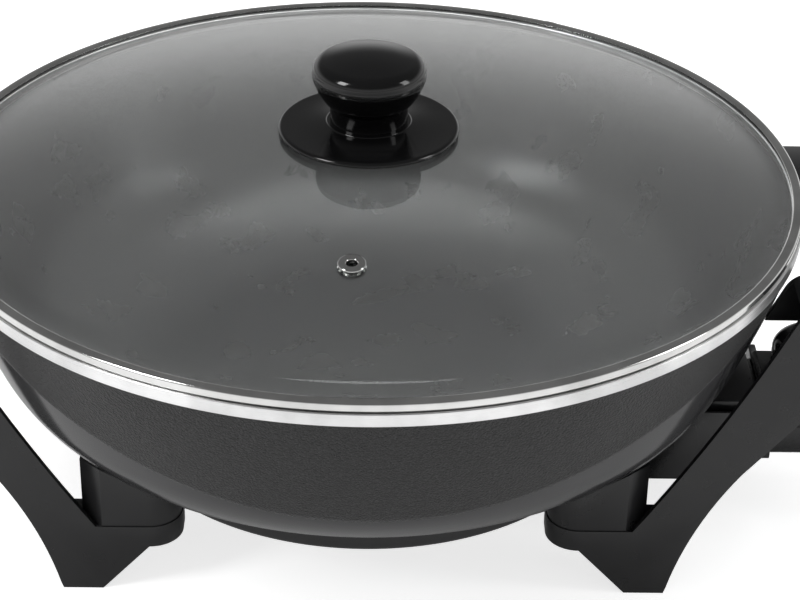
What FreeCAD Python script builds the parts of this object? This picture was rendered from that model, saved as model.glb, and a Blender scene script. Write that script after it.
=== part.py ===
import FreeCAD, Part
import math
import os
import Sketcher

# An electric wok: a cast bowl on two side frames, each of two legs and a carrying
# handle, with a ring element under a base cover, a lift-off glass lid and a plug-in
# thermostat control on the right. Millimetres, +Z up, +X towards the control, and
# the origin on the table under the middle of the bowl.

# Driving dimensions, each with its number and its meaning. Angles are in degrees.
DIMENSIONS = {
    "rim_radius": (182.0, "outside radius of the bare rim"),
    "rim_top": (159.7, "height of the rim above the table"),
    "rim_depth": (5.3, "depth of the bare band outside the rim"),
    "rim_mouth_radius": (176.5, "radius of the bowl's mouth"),
    "shoulder_radius": (181.0, "radius of the wall just under the rim"),
    "shoulder_height": (154.0, "height of the wall just under the rim"),
    "wall_lean": (16.39, "lean of the wall under the rim, from upright"),
    "bend_lean": (22.92, "lean where the wall starts its tight bend"),
    "base_lean": (60.0, "lean where the bend meets the shallow base"),
    "wall_curve": (484.24, "radius of the upper wall's curve"),
    "bend_curve": (57.77, "radius of the tight bend"),
    "base_curve": (110.0, "radius of the shallow base's curve"),
    "bowl_wall": (4.0, "thickness of the cast wall"),
    "lug_radius": (9.0, "radius of the four lugs that carry the frames"),
    "lug_x": (102.0, "distance of a frame lug from the middle, along X"),
    "lug_y": (65.0, "distance of a frame lug from the middle, along Y"),
    "lug_foot": (40.0, "height of a frame lug's lower end"),
    "cover_lug_radius": (5.0, "radius of the three lugs that hold the cover"),
    "cover_lug_circle": (45.0, "radius of the circle of cover lugs"),
    "socket_lug_radius": (4.5, "radius of the two lugs that hold the socket"),
    "socket_lug_x": (133.0, "distance of a socket lug along X"),
    "socket_lug_y": (25.5, "distance of a socket lug along Y"),
    "pad_start": (62.0, "inner end of the sensor pad under the bowl"),
    "pad_end": (100.0, "outer end of the sensor pad under the bowl"),
    "pad_width": (16.0, "width of the sensor pad"),
    "pad_foot": (50.5, "height of the sensor pad's lower face"),
    "cover_radius": (111.0, "outside radius of the base cover"),
    "cover_foot": (47.0, "height of the base cover's lower face"),
    "cover_top": (62.6, "height of the base cover's upper edge"),
    "cover_corner": (3.0, "rounding of the base cover's lower edge"),
    "sheet_wall": (1.2, "thickness of the base cover"),
    "cover_window": (40.0, "width of the opening for the element's ends"),
    "cover_window_start": (102.5, "where that opening begins in the cover's floor"),
    "element_radius": (4.0, "radius of the tubular element"),
    "element_ring": (80.0, "radius of the element's ring"),
    "element_height": (55.7, "height of the element's ring"),
    "element_bend": (12.0, "bend radius where the ring turns outwards"),
    "element_drop_start": (94.0, "where the element's ends start to drop"),
    "element_drop_end": (112.0, "where the element's ends are level again"),
    "pin_height": (50.0, "height of the terminal pins"),
    "pin_offset": (14.0, "distance of a pin from the middle, along Y"),
    "pin_radius": (2.75, "radius of a terminal pin"),
    "pin_start": (119.0, "inner end of a terminal pin"),
    "pin_end": (161.0, "free end of a terminal pin"),
    "bead_radius": (6.0, "radius of a ceramic bead"),
    "bead_start": (121.0, "inner end of a ceramic bead"),
    "bead_length": (10.0, "length of a ceramic bead"),
    "sleeve_height": (56.4, "height of the probe's axis"),
    "sleeve_radius": (4.5, "outside radius of the probe's sleeve"),
    "sleeve_bore": (3.0, "bore radius of the probe's sleeve"),
    "sleeve_end": (128.0, "outer end of the probe's sleeve"),
    "socket_wall": (3.0, "thickness of the socket's walls"),
    "socket_root_x": (112.6, "inner end of the socket"),
    "socket_step_x": (144.0, "where the deep root ends and the mouth begins"),
    "socket_end_x": (170.0, "outer end of the socket's mouth"),
    "socket_root_y": (33.0, "half width of the socket's root"),
    "socket_mouth_y": (31.0, "half width of the socket's mouth"),
    "socket_cap_y": (26.5, "half width of the raised strip on the mouth"),
    "socket_root_foot": (30.5, "height of the root's lower face"),
    "socket_mouth_foot": (38.5, "height of the mouth's lower face"),
    "socket_top": (64.0, "height of the socket's upper face"),
    "socket_cap_top": (67.0, "height of the raised strip's upper face"),
    "groove_side_y": (29.6, "outer side of the grooves beside the raised strip"),
    "groove_foot": (57.0, "height of the grooves' lower end"),
    "groove_inset": (3.0, "distance of a groove's ends from the mouth's ends"),
    "socket_heel_top": (62.9, "height of the socket where it runs under the bowl"),
    "socket_heel_x": (118.5, "where that lower part of the socket ends"),
    "panel_y": (75.0, "distance of the legs' outer panels, along Y"),
    "leg_depth": (20.5, "depth of a leg behind its panel"),
    "frame_wall": (2.8, "thickness of the frame's moulded walls"),
    "foot_inner_x": (111.5, "inner corner of a foot"),
    "foot_outer_x": (128.5, "outer corner of a foot"),
    "heel_x": (129.5, "where a leg's outer edge starts its curve"),
    "heel_height": (3.0, "height of that start"),
    "calf_x": (157.0, "where a leg's outer edge becomes straight"),
    "calf_height": (61.8, "height of that place"),
    "calf_curve": (165.0, "radius of the leg's outer curve"),
    "knee_x": (200.0, "where a leg's outer edge turns to the handle"),
    "knee_height": (113.0, "height of that place"),
    "knee_curve": (18.2, "radius of that turn"),
    "grip_foot": (119.5, "height of the handle's lower face"),
    "grip_top": (140.5, "height of the handle's upper face"),
    "grip_outer_x": (242.0, "outside of the handle"),
    "grip_inner_x": (217.0, "inside of the grip bar"),
    "grip_edge": (6.0, "rounding along the grip's outer edge"),
    "grip_corner": (24.0, "rounding of the handle's corners, seen from above"),
    "arm_gap_y": (43.0, "half width of the finger opening"),
    "gap_corner": (6.0, "rounding of the finger opening's corners"),
    "crest_x": (182.4, "inner end of the handle's flat top"),
    "crest_curve": (11.0, "rounding from the top to the leg's inner edge"),
    "crest_foot_x": (172.4, "upper end of the leg's inner edge"),
    "crest_foot_height": (134.1, "height of that end"),
    "shin_curve": (750.0, "radius of the leg's inner edge"),
    "notch_x": (113.4, "lower end of the leg's inner edge"),
    "arm_top": (32.0, "height of the arm under the block"),
    "arm_foot": (22.0, "height of the arm's lower edge"),
    "arm_flat_x": (91.0, "where the arm's end starts to round"),
    "arm_end_x": (77.5, "inner end of the arm"),
    "arm_root_x": (131.0, "outer end of the arm's plate"),
    "hollow_shift_x": (2.5, "how far the hollow stands in from the outer edge"),
    "hollow_shift_z": (1.45, "how far the hollow stands up from the foot"),
    "block_inset": (0.4, "how far a block stands in from the panel's face"),
    "block_corner_x": (110.5, "front corner of a block"),
    "block_side_x": (119.5, "outer side of a block"),
    "block_side_y": (66.8, "front end of a block's outer side"),
    "block_top": (61.0, "height of a block's outer top edge"),
    "block_level_radius": (133.5, "radius inside which a block's top slopes down"),
    "block_slope": (36.0, "slope of a block's top, from level"),
    "screw_radius": (2.5, "radius of the frame screws"),
    "screw_head_radius": (4.8, "radius of the frame screws' heads"),
    "screw_head_height": (3.2, "height of the frame screws' heads"),
    "screw_reach": (16.0, "length of a frame screw in its lug"),
    "small_screw_radius": (1.9, "radius of the small screws"),
    "small_head_radius": (3.6, "radius of the small screws' heads"),
    "small_head_height": (2.2, "height of the small screws' heads"),
    "small_reach": (8.0, "length of a small screw in its lug"),
    "washer_radius": (6.5, "outside radius of a frame washer"),
    "washer_height": (1.2, "thickness of a frame washer"),
    "play": (0.2, "clearance round a screw"),
    "lid_gap": (0.3, "gap between the rim and the lid"),
    "ring_radius": (181.6, "outside radius of the lid's steel ring"),
    "ring_lip_radius": (177.2, "inside radius of the ring's lips"),
    "ring_height": (4.2, "height of the lid's steel ring"),
    "ring_wall": (0.6, "thickness of the ring's steel"),
    "ring_edge": (1.2, "rounding of the ring's outer edges"),
    "glass_radius": (180.0, "radius of the glass"),
    "glass_brim": (172.0, "radius where the glass leaves its flat brim"),
    "glass_wall": (2.9, "thickness of the glass"),
    "glass_apex": (184.0, "height of the glass at the middle"),
    "glass_hole": (4.0, "radius of the hole for the knob's screw"),
    "vent_x": (-5.6, "place of the steam vent, along X"),
    "vent_y": (-103.5, "place of the steam vent, along Y"),
    "vent_gap": (0.1, "gap between the eyelet and the glass"),
    "vent_radius": (5.6, "outside radius of the vent's eyelet"),
    "vent_neck": (3.4, "radius of the eyelet's neck"),
    "vent_bore": (2.15, "radius of the steam hole"),
    "vent_lip": (0.9, "thickness of the eyelet's lips"),
    "skirt_radius": (37.7, "radius of the knob's skirt"),
    "skirt_foot": (183.5, "height of the skirt's lower edge"),
    "skirt_edge": (2.0, "thickness of the skirt's edge"),
    "skirt_top": (187.5, "height of the skirt at the knob's neck"),
    "skirt_well": (17.5, "radius where the skirt meets the knob's neck"),
    "neck_radius": (16.2, "radius of the knob's neck"),
    "neck_top": (195.4, "height of the neck's upper end"),
    "neck_step": (0.8, "how far the knob's underside starts outside its neck"),
    "knob_belly": (30.0, "radius of the knob's full underside"),
    "knob_radius": (23.5, "radius of the knob where its side begins and ends"),
    "knob_waist": (206.5, "height where the knob's side begins"),
    "knob_side": (6.0, "radius of the knob's side, seen from the front"),
    "knob_rise": (210.0, "height where the knob's side ends"),
    "knob_top": (218.0, "height of the knob"),
    "knob_crown": (19.0, "radius where the knob's crown begins"),
    "knob_shoulder": (5.5, "rounding of the knob's shoulder"),
    "stud_radius": (2.5, "radius of the knob's screw"),
    "stud_top": (204.0, "upper end of the knob's screw"),
    "gasket_radius": (10.0, "radius of the knob's seals"),
    "gasket_height": (1.0, "thickness of a knob seal"),
    "lid_washer_radius": (8.5, "radius of the washer under the glass"),
    "case_start_x": (174.0, "inner face of the control's case"),
    "case_end_x": (234.0, "outer face of the control's case"),
    "case_half_y": (21.0, "half width of the control's case"),
    "case_foot": (36.0, "height of the case's lower face"),
    "case_seam": (50.5, "height of the seam between the case's halves"),
    "case_top": (65.0, "height of the case's upper face"),
    "case_wall": (2.2, "thickness of the case's walls"),
    "case_corner": (9.0, "rounding of the case's outer corners"),
    "case_chamfer": (1.5, "chamfer along the case's edges"),
    "flange_start_x": (173.4, "inner face of the control's flange"),
    "flange_end_x": (176.8, "outer face of the control's flange"),
    "flange_half_y": (31.0, "half width of the control's flange"),
    "flange_foot": (39.2, "height of the flange's lower edge"),
    "flange_top": (62.6, "height of the flange's upper edge"),
    "flange_corner": (3.0, "rounding of the flange's corners"),
    "nose_start_x": (148.0, "inner end of the case's nose"),
    "nose_half_y": (20.5, "half width of the nose"),
    "nose_foot": (43.5, "height of the nose's lower face"),
    "nose_top": (60.2, "height of the nose's upper face"),
    "probe_radius": (2.6, "radius of the probe rod"),
    "probe_start_x": (76.0, "free end of the probe rod"),
    "probe_end_x": (182.0, "held end of the probe rod"),
    "contact_radius": (4.4, "outside radius of a contact sleeve"),
    "contact_bore": (3.1, "bore radius of a contact sleeve"),
    "contact_start_x": (150.0, "mouth of a contact sleeve"),
    "contact_end_x": (180.0, "held end of a contact sleeve"),
    "cord_hole": (3.6, "radius of the hole for the cord"),
    "cord_height": (43.8, "height of the hole for the cord"),
    "dial_x": (200.0, "place of the dial's axis, along X"),
    "dial_radius": (21.0, "radius of the dial"),
    "dial_gap": (0.8, "gap between the case and the dial"),
    "dial_top": (82.0, "height of the dial"),
    "dial_skirt": (77.5, "height where the dial's side ends"),
    "spindle_radius": (3.0, "radius of the dial's spindle"),
    "spindle_foot": (55.5, "lower end of the dial's spindle"),
    "cam_radius": (6.5, "radius of the cam on the spindle"),
    "cam_height": (2.5, "thickness of the cam"),
    "cam_shift": (1.2, "how far the cam stands off the spindle's axis"),
    "case_screw_radius": (1.4, "radius of the screws that close the case"),
    "case_screw_head": (2.7, "radius of their heads"),
    "case_head_height": (1.6, "height of their heads"),
    "case_post_radius": (3.2, "radius of the posts that take them"),
    "case_post_inset": (6.0, "distance of a post's axis from the case's side"),
    "case_post_start": (10.0, "distance of the inner posts from the case's inner face"),
    "case_post_end": (12.0, "distance of the outer posts from the case's outer face"),
    "lens_x": (227.5, "place of the pilot light, along X"),
    "lens_radius": (3.0, "radius of the pilot light's lens"),
    "lens_rise": (1.2, "how far the lens stands out of the case"),
    "over": (1.0, "how far a cutting tool runs past the face it cuts"),
    "tool_reach": (20.0, "length or reach of the tools that cut right through a wall"),
    "cover_clearance": (0.6, "gap between the base cover and the pieces outside it"),
    "seal_gap": (0.05, "gap between the glass and the seal above it"),
    "thread_gap": (0.5, "gap between a screw's tip and the end of its thread"),
    "driver_slot": (1.0, "width of the slot in a screw's head"),
    "lug_overlap": (4.0, "how far two joined solids run into each other"),
    "socket_back": (14.0, "how far the socket reaches in under the base cover's edge"),
    "socket_root_length": (12.0, "length of the socket's root behind its step"),
    "knee_lean": (50.0, "angle that the leg's knee turns through"),
    "gap_reach": (30.0, "how far the finger opening's outline runs in past the crest"),
    "head_play": (1.5, "depth of the seat above a case screw's head"),
    "dial_roof": (4.0, "thickness of the dial's top over its spindle"),
    "switch_near": (8.0, "distance from the dial's axis to the near side of the switch block"),
    "switch_far": (18.0, "distance from the dial's axis to the far side of the switch block"),
    "switch_half": (6.0, "half the width of the switch block"),
    "switch_height": (10.0, "height of the switch block"),
    "blade_rise": (10.4, "height of the first blade above the case's floor"),
    "blade_pitch": (1.6, "distance between the two blades"),
    "blade_reach": (12.0, "how far a blade reaches in front of the dial's axis"),
    "blade_half": (3.0, "half the width of a blade"),
    "blade_wall": (0.5, "thickness of a blade"),
    "contact_stud": (2.0, "radius of a blade's contact"),
    "contact_stud_height": (0.9, "height of a blade's contact"),
    "contact_stud_reach": (8.0, "distance of a blade's contact from the dial's axis"),
    "bimetal_gap": (0.2, "gap between the probe and the bimetal strip"),
    "bimetal_end": (7.6, "distance from the dial's axis to the strip's end"),
    "bimetal_half": (4.0, "half the width of the bimetal strip"),
    "bimetal_rise": (6.0, "height of the strip above the case's floor"),
    "bimetal_wall": (1.0, "thickness of the bimetal strip"),
}

LEFT, RIGHT = 1, -1
COVER_SCREWS = 3
EDGE_ARCS = 4
UPRIGHT = FreeCAD.Vector(0, 0, 1)

doc = FreeCAD.newDocument("electric_wok")
sheet = doc.addObject("Spreadsheet::Sheet", "sizes")
for row, (alias, (number, meaning)) in enumerate(DIMENSIONS.items(), start=1):
    sheet.set(f"A{row}", meaning)
    sheet.set(f"B{row}", str(number))
    sheet.setAlias(f"B{row}", alias)
doc.recompute()


# A size knows its number, to draw with, and the expression that ties it to the sheet.
class Size:
    def __init__(self, value, text):
        self.value = value
        self.text = text

    def __add__(self, other):
        other = as_size(other)
        return Size(self.value + other.value, f"({self.text} + {other.text})")

    def __sub__(self, other):
        other = as_size(other)
        return Size(self.value - other.value, f"({self.text} - {other.text})")

    def __mul__(self, other):
        other = as_size(other)
        return Size(self.value * other.value, f"({self.text} * {other.text})")

    def __truediv__(self, other):
        other = as_size(other)
        return Size(self.value / other.value, f"({self.text} / {other.text})")

    def __neg__(self):
        return Size(-self.value, f"(0 - {self.text})")


class Sheet:
    def __getattr__(self, alias):
        return Size(float(sheet.get(alias)), f"sizes.{alias}")


def as_size(item):
    return item if isinstance(item, Size) else Size(float(item), f"{item}")


def sine(angle):
    return Size(math.sin(math.radians(angle.value)), f"sin({angle.text} * 1 deg)")


def cosine(angle):
    return Size(math.cos(math.radians(angle.value)), f"cos({angle.text} * 1 deg)")


def tangent(angle):
    return sine(angle) / cosine(angle)


def root(size):
    return Size(math.sqrt(size.value), f"sqrt({size.text})")


def dome_radius(reach, rise):
    """Radius of the sphere cap that is as wide as twice its reach and as high as its rise."""
    return (reach * reach + rise * rise) / (rise * 2)


dim = Sheet()
ORIGIN = as_size(0)


# Sketches and the features made from them
def arc_between(start, end, radius, turn):
    """The arc from start to end that turns LEFT or RIGHT, always less than a half circle."""
    chord = end - start
    rise = math.sqrt(max(radius ** 2 - (chord.Length / 2) ** 2, 0.0))
    across = FreeCAD.Vector(-chord.y, chord.x, 0).normalize()
    centre = start + chord * 0.5 + across * (rise * turn)
    first, last = (start, end) if turn == LEFT else (end, start)
    opening = math.atan2(first.y - centre.y, first.x - centre.x)
    closing = math.atan2(last.y - centre.y, last.x - centre.x)
    return Part.ArcOfCircle(Part.Circle(centre, UPRIGHT, radius), opening, closing)


def bind_coordinate(drawing, kind, geometry, corner, size):
    """Tie one coordinate of a corner to the sheet, or to the axis where it is zero."""
    if size.value == 0:
        axis = -2 if kind == "DistanceX" else -1
        drawing.addConstraint(Sketcher.Constraint("PointOnObject", geometry, corner, axis))
        return
    tie = Sketcher.Constraint(kind, -1, 1, geometry, corner, size.value)
    number = drawing.addConstraint(tie)
    drawing.setExpression(f"Constraints[{number}]", size.text)


def add_sketch(body, name, plane_role, outline, depth=None):
    """Draw a closed outline of corners (x, y) and arcs (x, y, radius, turn)."""
    plane = next(f for f in body.Origin.OriginFeatures if f.Role == plane_role)
    drawing = body.newObject("Sketcher::SketchObject", name)
    drawing.AttachmentSupport = [(plane, "")]
    drawing.MapMode = "FlatFace"
    if depth is not None:
        drawing.setExpression("AttachmentOffset.Base.z", as_size(depth).text)
    steps = [tuple(as_size(part) for part in step[:3]) + tuple(step[3:]) for step in outline]
    points = [FreeCAD.Vector(step[0].value, step[1].value, 0) for step in steps]
    ends = []
    for number, step in enumerate(steps):
        start, end = points[number - 1], points[number]
        if len(step) == 2:
            drawing.addGeometry(Part.LineSegment(start, end))
            ends.append((1, 2))
        else:
            drawing.addGeometry(arc_between(start, end, step[2].value, step[3]))
            ends.append((1, 2) if step[3] == LEFT else (2, 1))
    for number in range(len(steps)):
        following = (number + 1) % len(steps)
        joint = Sketcher.Constraint("Coincident", number, ends[number][1], following, ends[following][0])
        drawing.addConstraint(joint)
    for number, step in enumerate(steps):
        bind_coordinate(drawing, "DistanceX", number, ends[number][1], step[0])
        bind_coordinate(drawing, "DistanceY", number, ends[number][1], step[1])
        if len(step) > 2:
            curve = drawing.addConstraint(Sketcher.Constraint("Radius", number, step[2].value))
            drawing.setExpression(f"Constraints[{curve}]", step[2].text)
    return drawing


def turned(name, outline):
    """A body made by turning an outline of (radius, height) steps about the upright axis."""
    body = doc.addObject("PartDesign::Body", name)
    drawing = add_sketch(body, f"{name}_outline", "XZ_Plane", outline)
    turn = body.newObject("PartDesign::Revolution", f"{name}_turn")
    turn.Profile = drawing
    turn.ReferenceAxis = (drawing, ["V_Axis"])
    turn.Angle = 360
    body.Tip = turn
    return body


def extruded(name, plane_role, outline, start, length):
    """A body padded from a plane: start and length run along +Z, or along -Y on XZ_Plane."""
    body = doc.addObject("PartDesign::Body", name)
    drawing = add_sketch(body, f"{name}_outline", plane_role, outline, start)
    pad = body.newObject("PartDesign::Pad", f"{name}_pad")
    pad.Profile = drawing
    pad.setExpression("Length", as_size(length).text)
    body.Tip = pad
    return body


# Primitives and booleans
def place(item, x, y, z):
    for axis, size in zip("xyz", (x, y, z)):
        item.setExpression(f"Placement.Base.{axis}", as_size(size).text)
    return item


def box(name, low, high):
    """A box between two corners."""
    item = doc.addObject("Part::Box", name)
    low, high = [as_size(size) for size in low], [as_size(size) for size in high]
    for side, start, end in zip(("Length", "Width", "Height"), low, high):
        item.setExpression(side, (end - start).text)
    return place(item, *low)


def cylinder(name, radius, foot, height, direction="z"):
    """A cylinder from the middle of its foot, along +Z or +X."""
    item = doc.addObject("Part::Cylinder", name)
    item.setExpression("Radius", as_size(radius).text)
    item.setExpression("Height", as_size(height).text)
    if direction == "x":
        item.Placement.Rotation = FreeCAD.Rotation(FreeCAD.Vector(0, 1, 0), 90)
    return place(item, *foot)


def cut(name, base, tool):
    item = doc.addObject("Part::Cut", name)
    item.Base, item.Tool = base, tool
    return item


def fuse(name, *pieces):
    item = doc.addObject("Part::MultiFuse", name)
    item.Shapes = list(pieces)
    item.Refine = True
    return item


def common(name, *pieces):
    item = doc.addObject("Part::MultiCommon", name)
    item.Shapes = list(pieces)
    return item


def group(name, *pieces):
    """Separate solids kept in one node."""
    item = doc.addObject("Part::Compound", name)
    item.Links = list(pieces)
    return item


def mirrored(name, source, normal):
    item = doc.addObject("Part::Mirroring", name)
    item.Source = source
    item.Normal = FreeCAD.Vector(*normal)
    return item


def mirrored_pair(name, make):
    """A tool made on the +Y side and its twin on the -Y side."""
    first = make(f"{name}_rear")
    return first, mirrored(f"{name}_front", first, (0, 1, 0))


def rounded_edges(name, base, radius, wanted):
    """Round the edges of a solid whose middle passes a test."""
    doc.recompute()
    item = doc.addObject("Part::Fillet", name)
    item.Base = base
    chosen = [number for number, edge in enumerate(base.Shape.Edges, start=1) if wanted(edge)]
    item.Edges = [(number, radius.value, radius.value) for number in chosen]
    return item


# The bowl's curves, at a depth inside its outside face
def bowl_centres():
    """Centres of the wall's, the bend's and the base's arcs, as (radius, height)."""
    wall = (dim.shoulder_radius - dim.wall_curve * cosine(dim.wall_lean),
            dim.shoulder_height + dim.wall_curve * sine(dim.wall_lean))
    step = dim.wall_curve - dim.bend_curve
    bend = (wall[0] + step * cosine(dim.bend_lean), wall[1] - step * sine(dim.bend_lean))
    step = dim.bend_curve - dim.base_curve
    base = (bend[0] + step * cosine(dim.base_lean), bend[1] - step * sine(dim.base_lean))
    return wall, bend, base


def bowl_point(centre, curve, lean, depth):
    reach = curve - depth
    return centre[0] + reach * cosine(lean), centre[1] - reach * sine(lean)


def bowl_curve(depth):
    """Steps up the bowl from its axis to the shoulder, at a depth inside its outside face."""
    wall, bend, base = bowl_centres()
    bottom = base[1] - dim.base_curve + depth
    return [
        (ORIGIN, bottom),
        (base[0], bottom),
        (*bowl_point(bend, dim.bend_curve, dim.base_lean, depth), dim.base_curve - depth, LEFT),
        (*bowl_point(wall, dim.wall_curve, dim.bend_lean, depth), dim.bend_curve - depth, LEFT),
        (*bowl_point(wall, dim.wall_curve, dim.wall_lean, depth), dim.wall_curve - depth, LEFT),
    ]


def reversed_steps(steps):
    """The same outline walked the other way: each arc's radius moves to its other end."""
    back = []
    for number in range(len(steps) - 1, -1, -1):
        following = steps[number + 1] if number + 1 < len(steps) else ()
        corner = steps[number][:2]
        if len(following) > 2:
            corner = (*corner, following[2], -following[3])
        back.append(corner)
    return back


# The bowl, with its lugs and its sensor pad
def make_bowl():
    edge = dim.rim_radius - dim.rim_radius / 200
    outline = bowl_curve(ORIGIN)
    outline += [
        (dim.rim_radius, dim.rim_top - dim.rim_depth),
        (dim.rim_radius, dim.rim_top - (dim.rim_radius - edge)),
        (edge, dim.rim_top, dim.rim_radius - edge, LEFT),
        (dim.rim_mouth_radius, dim.rim_top),
    ]
    outline += reversed_steps(bowl_curve(dim.bowl_wall))
    shell = turned("bowl_shell", outline)
    under = turned("bowl_underside", bowl_curve(dim.bowl_wall / 2) + [
        (dim.rim_radius + dim.tool_reach, dim.shoulder_height),
        (dim.rim_radius + dim.tool_reach, ORIGIN),
        (ORIGIN, ORIGIN),
    ])
    ceiling = dim.shoulder_height / 2
    lugs = []
    for side_x in (1, -1):
        for side_y in (1, -1):
            foot = (dim.lug_x * side_x, dim.lug_y * side_y, dim.lug_foot)
            lugs.append(cylinder(f"frame_lug_{len(lugs)}", dim.lug_radius, foot, ceiling - dim.lug_foot))
    for x, y in circle_places():
        foot = (x, y, dim.cover_foot + dim.sheet_wall)
        lugs.append(cylinder(f"cover_lug_{len(lugs)}", dim.cover_lug_radius, foot, ceiling - foot[2]))
    for side_y in (1, -1):
        foot = (dim.socket_lug_x, dim.socket_lug_y * side_y, dim.socket_top)
        lugs.append(cylinder(f"socket_lug_{len(lugs)}", dim.socket_lug_radius, foot,
                             ceiling + dim.lug_overlap - foot[2]))
    lugs.append(box("sensor_pad", (dim.pad_start, -dim.pad_width / 2, dim.pad_foot),
                    (dim.pad_end, dim.pad_width / 2, ceiling)))
    below = common("bowl_lugs", fuse("bowl_lugs_long", *lugs), under)
    solid = fuse("bowl_casting", shell, below)
    holes = [cylinder("sleeve_hole", dim.sleeve_radius, (dim.pad_start - dim.over, ORIGIN, dim.sleeve_height),
                      dim.pad_end - dim.pad_start + dim.over * 2, "x")]
    for side_x in (1, -1):
        for side_y in (1, -1):
            foot = (dim.lug_x * side_x, dim.lug_y * side_y, dim.lug_foot - dim.over)
            holes.append(cylinder(f"frame_thread_{len(holes)}", dim.screw_radius, foot,
                                  dim.screw_reach + dim.over))
    for x, y in circle_places():
        foot = (x, y, dim.cover_foot)
        holes.append(cylinder(f"cover_thread_{len(holes)}", dim.small_screw_radius, foot,
                              dim.small_reach + dim.sheet_wall))
    for side_y in (1, -1):
        foot = (dim.socket_lug_x, dim.socket_lug_y * side_y, dim.socket_top - dim.over)
        holes.append(cylinder(f"socket_thread_{len(holes)}", dim.small_screw_radius, foot,
                              dim.small_reach / 2 + dim.over))
    return cut("wok_bowl", solid, fuse("bowl_holes", *holes))


def circle_places():
    """Places of the three cover lugs, the first one straight to the left."""
    for number in range(COVER_SCREWS):
        angle = as_size(180 + 360 * number / COVER_SCREWS)
        yield dim.cover_lug_circle * cosine(angle), dim.cover_lug_circle * sine(angle)


# The base: cover, element, pins, beads and the probe's sleeve
def make_cover():
    inner = dim.cover_radius - dim.sheet_wall
    cup = turned("cover_cup", [
        (ORIGIN, dim.cover_foot),
        (dim.cover_radius - dim.cover_corner, dim.cover_foot),
        (dim.cover_radius, dim.cover_foot + dim.cover_corner, dim.cover_corner, LEFT),
        (dim.cover_radius, dim.cover_top),
        (inner, dim.cover_top),
        (inner, dim.cover_foot + dim.cover_corner),
        (dim.cover_radius - dim.cover_corner, dim.cover_foot + dim.sheet_wall,
         dim.cover_corner - dim.sheet_wall, RIGHT),
        (ORIGIN, dim.cover_foot + dim.sheet_wall),
    ])
    tools = [box("cover_window_box",
                 (dim.cover_window_start, -dim.cover_window / 2, dim.cover_foot - dim.over),
                 (dim.cover_radius + dim.lug_overlap, dim.cover_window / 2, dim.cover_top + dim.over))]
    for x, y in circle_places():
        tools.append(cylinder(f"cover_hole_{len(tools)}", dim.small_screw_radius + dim.play,
                              (x, y, dim.cover_foot - dim.over), dim.sheet_wall + dim.over * 2))
    return cut("base_cover", cup, fuse("cover_holes", *tools))


def element_half(side):
    """Edges of half the element's centre line, from the back of the ring to one pin."""
    ring, bend, offset = dim.element_ring.value, dim.element_bend.value, dim.pin_offset.value
    high, low = dim.element_height.value, dim.pin_height.value
    leave = math.asin((offset + bend) / (ring + bend))
    bend_x = (ring + bend) * math.cos(leave)

    def on_ring(angle):
        return FreeCAD.Vector(ring * math.cos(angle), side * ring * math.sin(angle), high)

    edges = [Part.Arc(on_ring(math.pi), on_ring((math.pi + leave) / 2), on_ring(leave)).toShape()]
    corner = FreeCAD.Vector(bend_x, side * (offset + bend), high)
    towards_ring = (on_ring(leave) - corner).normalize()
    middle = (towards_ring + FreeCAD.Vector(0, -side, 0)).normalize()
    finish = FreeCAD.Vector(bend_x, side * offset, high)
    edges.append(Part.Arc(on_ring(leave), corner + middle * bend, finish).toShape())
    first, last = dim.element_drop_start.value, dim.element_drop_end.value
    run, drop = (last - first) / 2, (high - low) / 2
    curve = (run ** 2 + drop ** 2) / (2 * drop)
    turn = math.asin(run / curve) / 2
    lean, sag = curve * math.sin(turn), curve * (1 - math.cos(turn))
    knots = [(first, high), (first + lean, high - sag), (first + run, high - drop),
             (last - lean, low + sag), (last, low)]
    drop_points = [FreeCAD.Vector(x, side * offset, z) for x, z in knots]
    edges.append(Part.LineSegment(finish, drop_points[0]).toShape())
    edges.append(Part.Arc(*drop_points[:3]).toShape())
    edges.append(Part.Arc(*drop_points[2:]).toShape())
    end = FreeCAD.Vector(dim.pin_start.value, side * offset, low)
    edges.append(Part.LineSegment(drop_points[-1], end).toShape())
    return edges


def make_element():
    """One tube from pin to pin: its volume is set against its section times its length."""
    halves = []
    for side in (1, -1):
        path = Part.Wire(element_half(side))
        ring_start = FreeCAD.Vector(-dim.element_ring.value, 0, dim.element_height.value)
        section = Part.Wire(Part.Circle(ring_start, FreeCAD.Vector(0, 1, 0),
                                        dim.element_radius.value).toShape())
        halves.append(path.makePipeShell([section], True, False))
        expected = math.pi * dim.element_radius.value ** 2 * path.Length
        print(f"element half: volume {halves[-1].Volume:.0f}, section times length {expected:.0f}")
    item = doc.addObject("Part::Feature", "heating_element")
    item.Shape = halves[0].fuse(halves[1]).removeSplitter()
    return item


def make_pins():
    length = dim.pin_end - dim.pin_start
    return group("terminal_pins", *(
        rounded_edges(f"pin_{side}", cylinder(f"pin_rod_{side}", dim.pin_radius,
                      (dim.pin_start, dim.pin_offset * sign, dim.pin_height), length, "x"),
                      dim.pin_radius * 0.5, lambda edge: edge.CenterOfMass.x > dim.pin_end.value - 1)
        for side, sign in (("rear", 1), ("front", -1))))


def make_beads():
    beads = []
    for side, sign in (("rear", 1), ("front", -1)):
        foot = (dim.bead_start, dim.pin_offset * sign, dim.pin_height)
        bead = cylinder(f"bead_solid_{side}", dim.bead_radius, foot, dim.bead_length, "x")
        bore = cylinder(f"bead_bore_{side}", dim.pin_radius, (foot[0] - dim.over, foot[1], foot[2]),
                        dim.bead_length + dim.over * 2, "x")
        beads.append(cut(f"bead_{side}", bead, bore))
    return group("terminal_beads", *beads)


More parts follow.
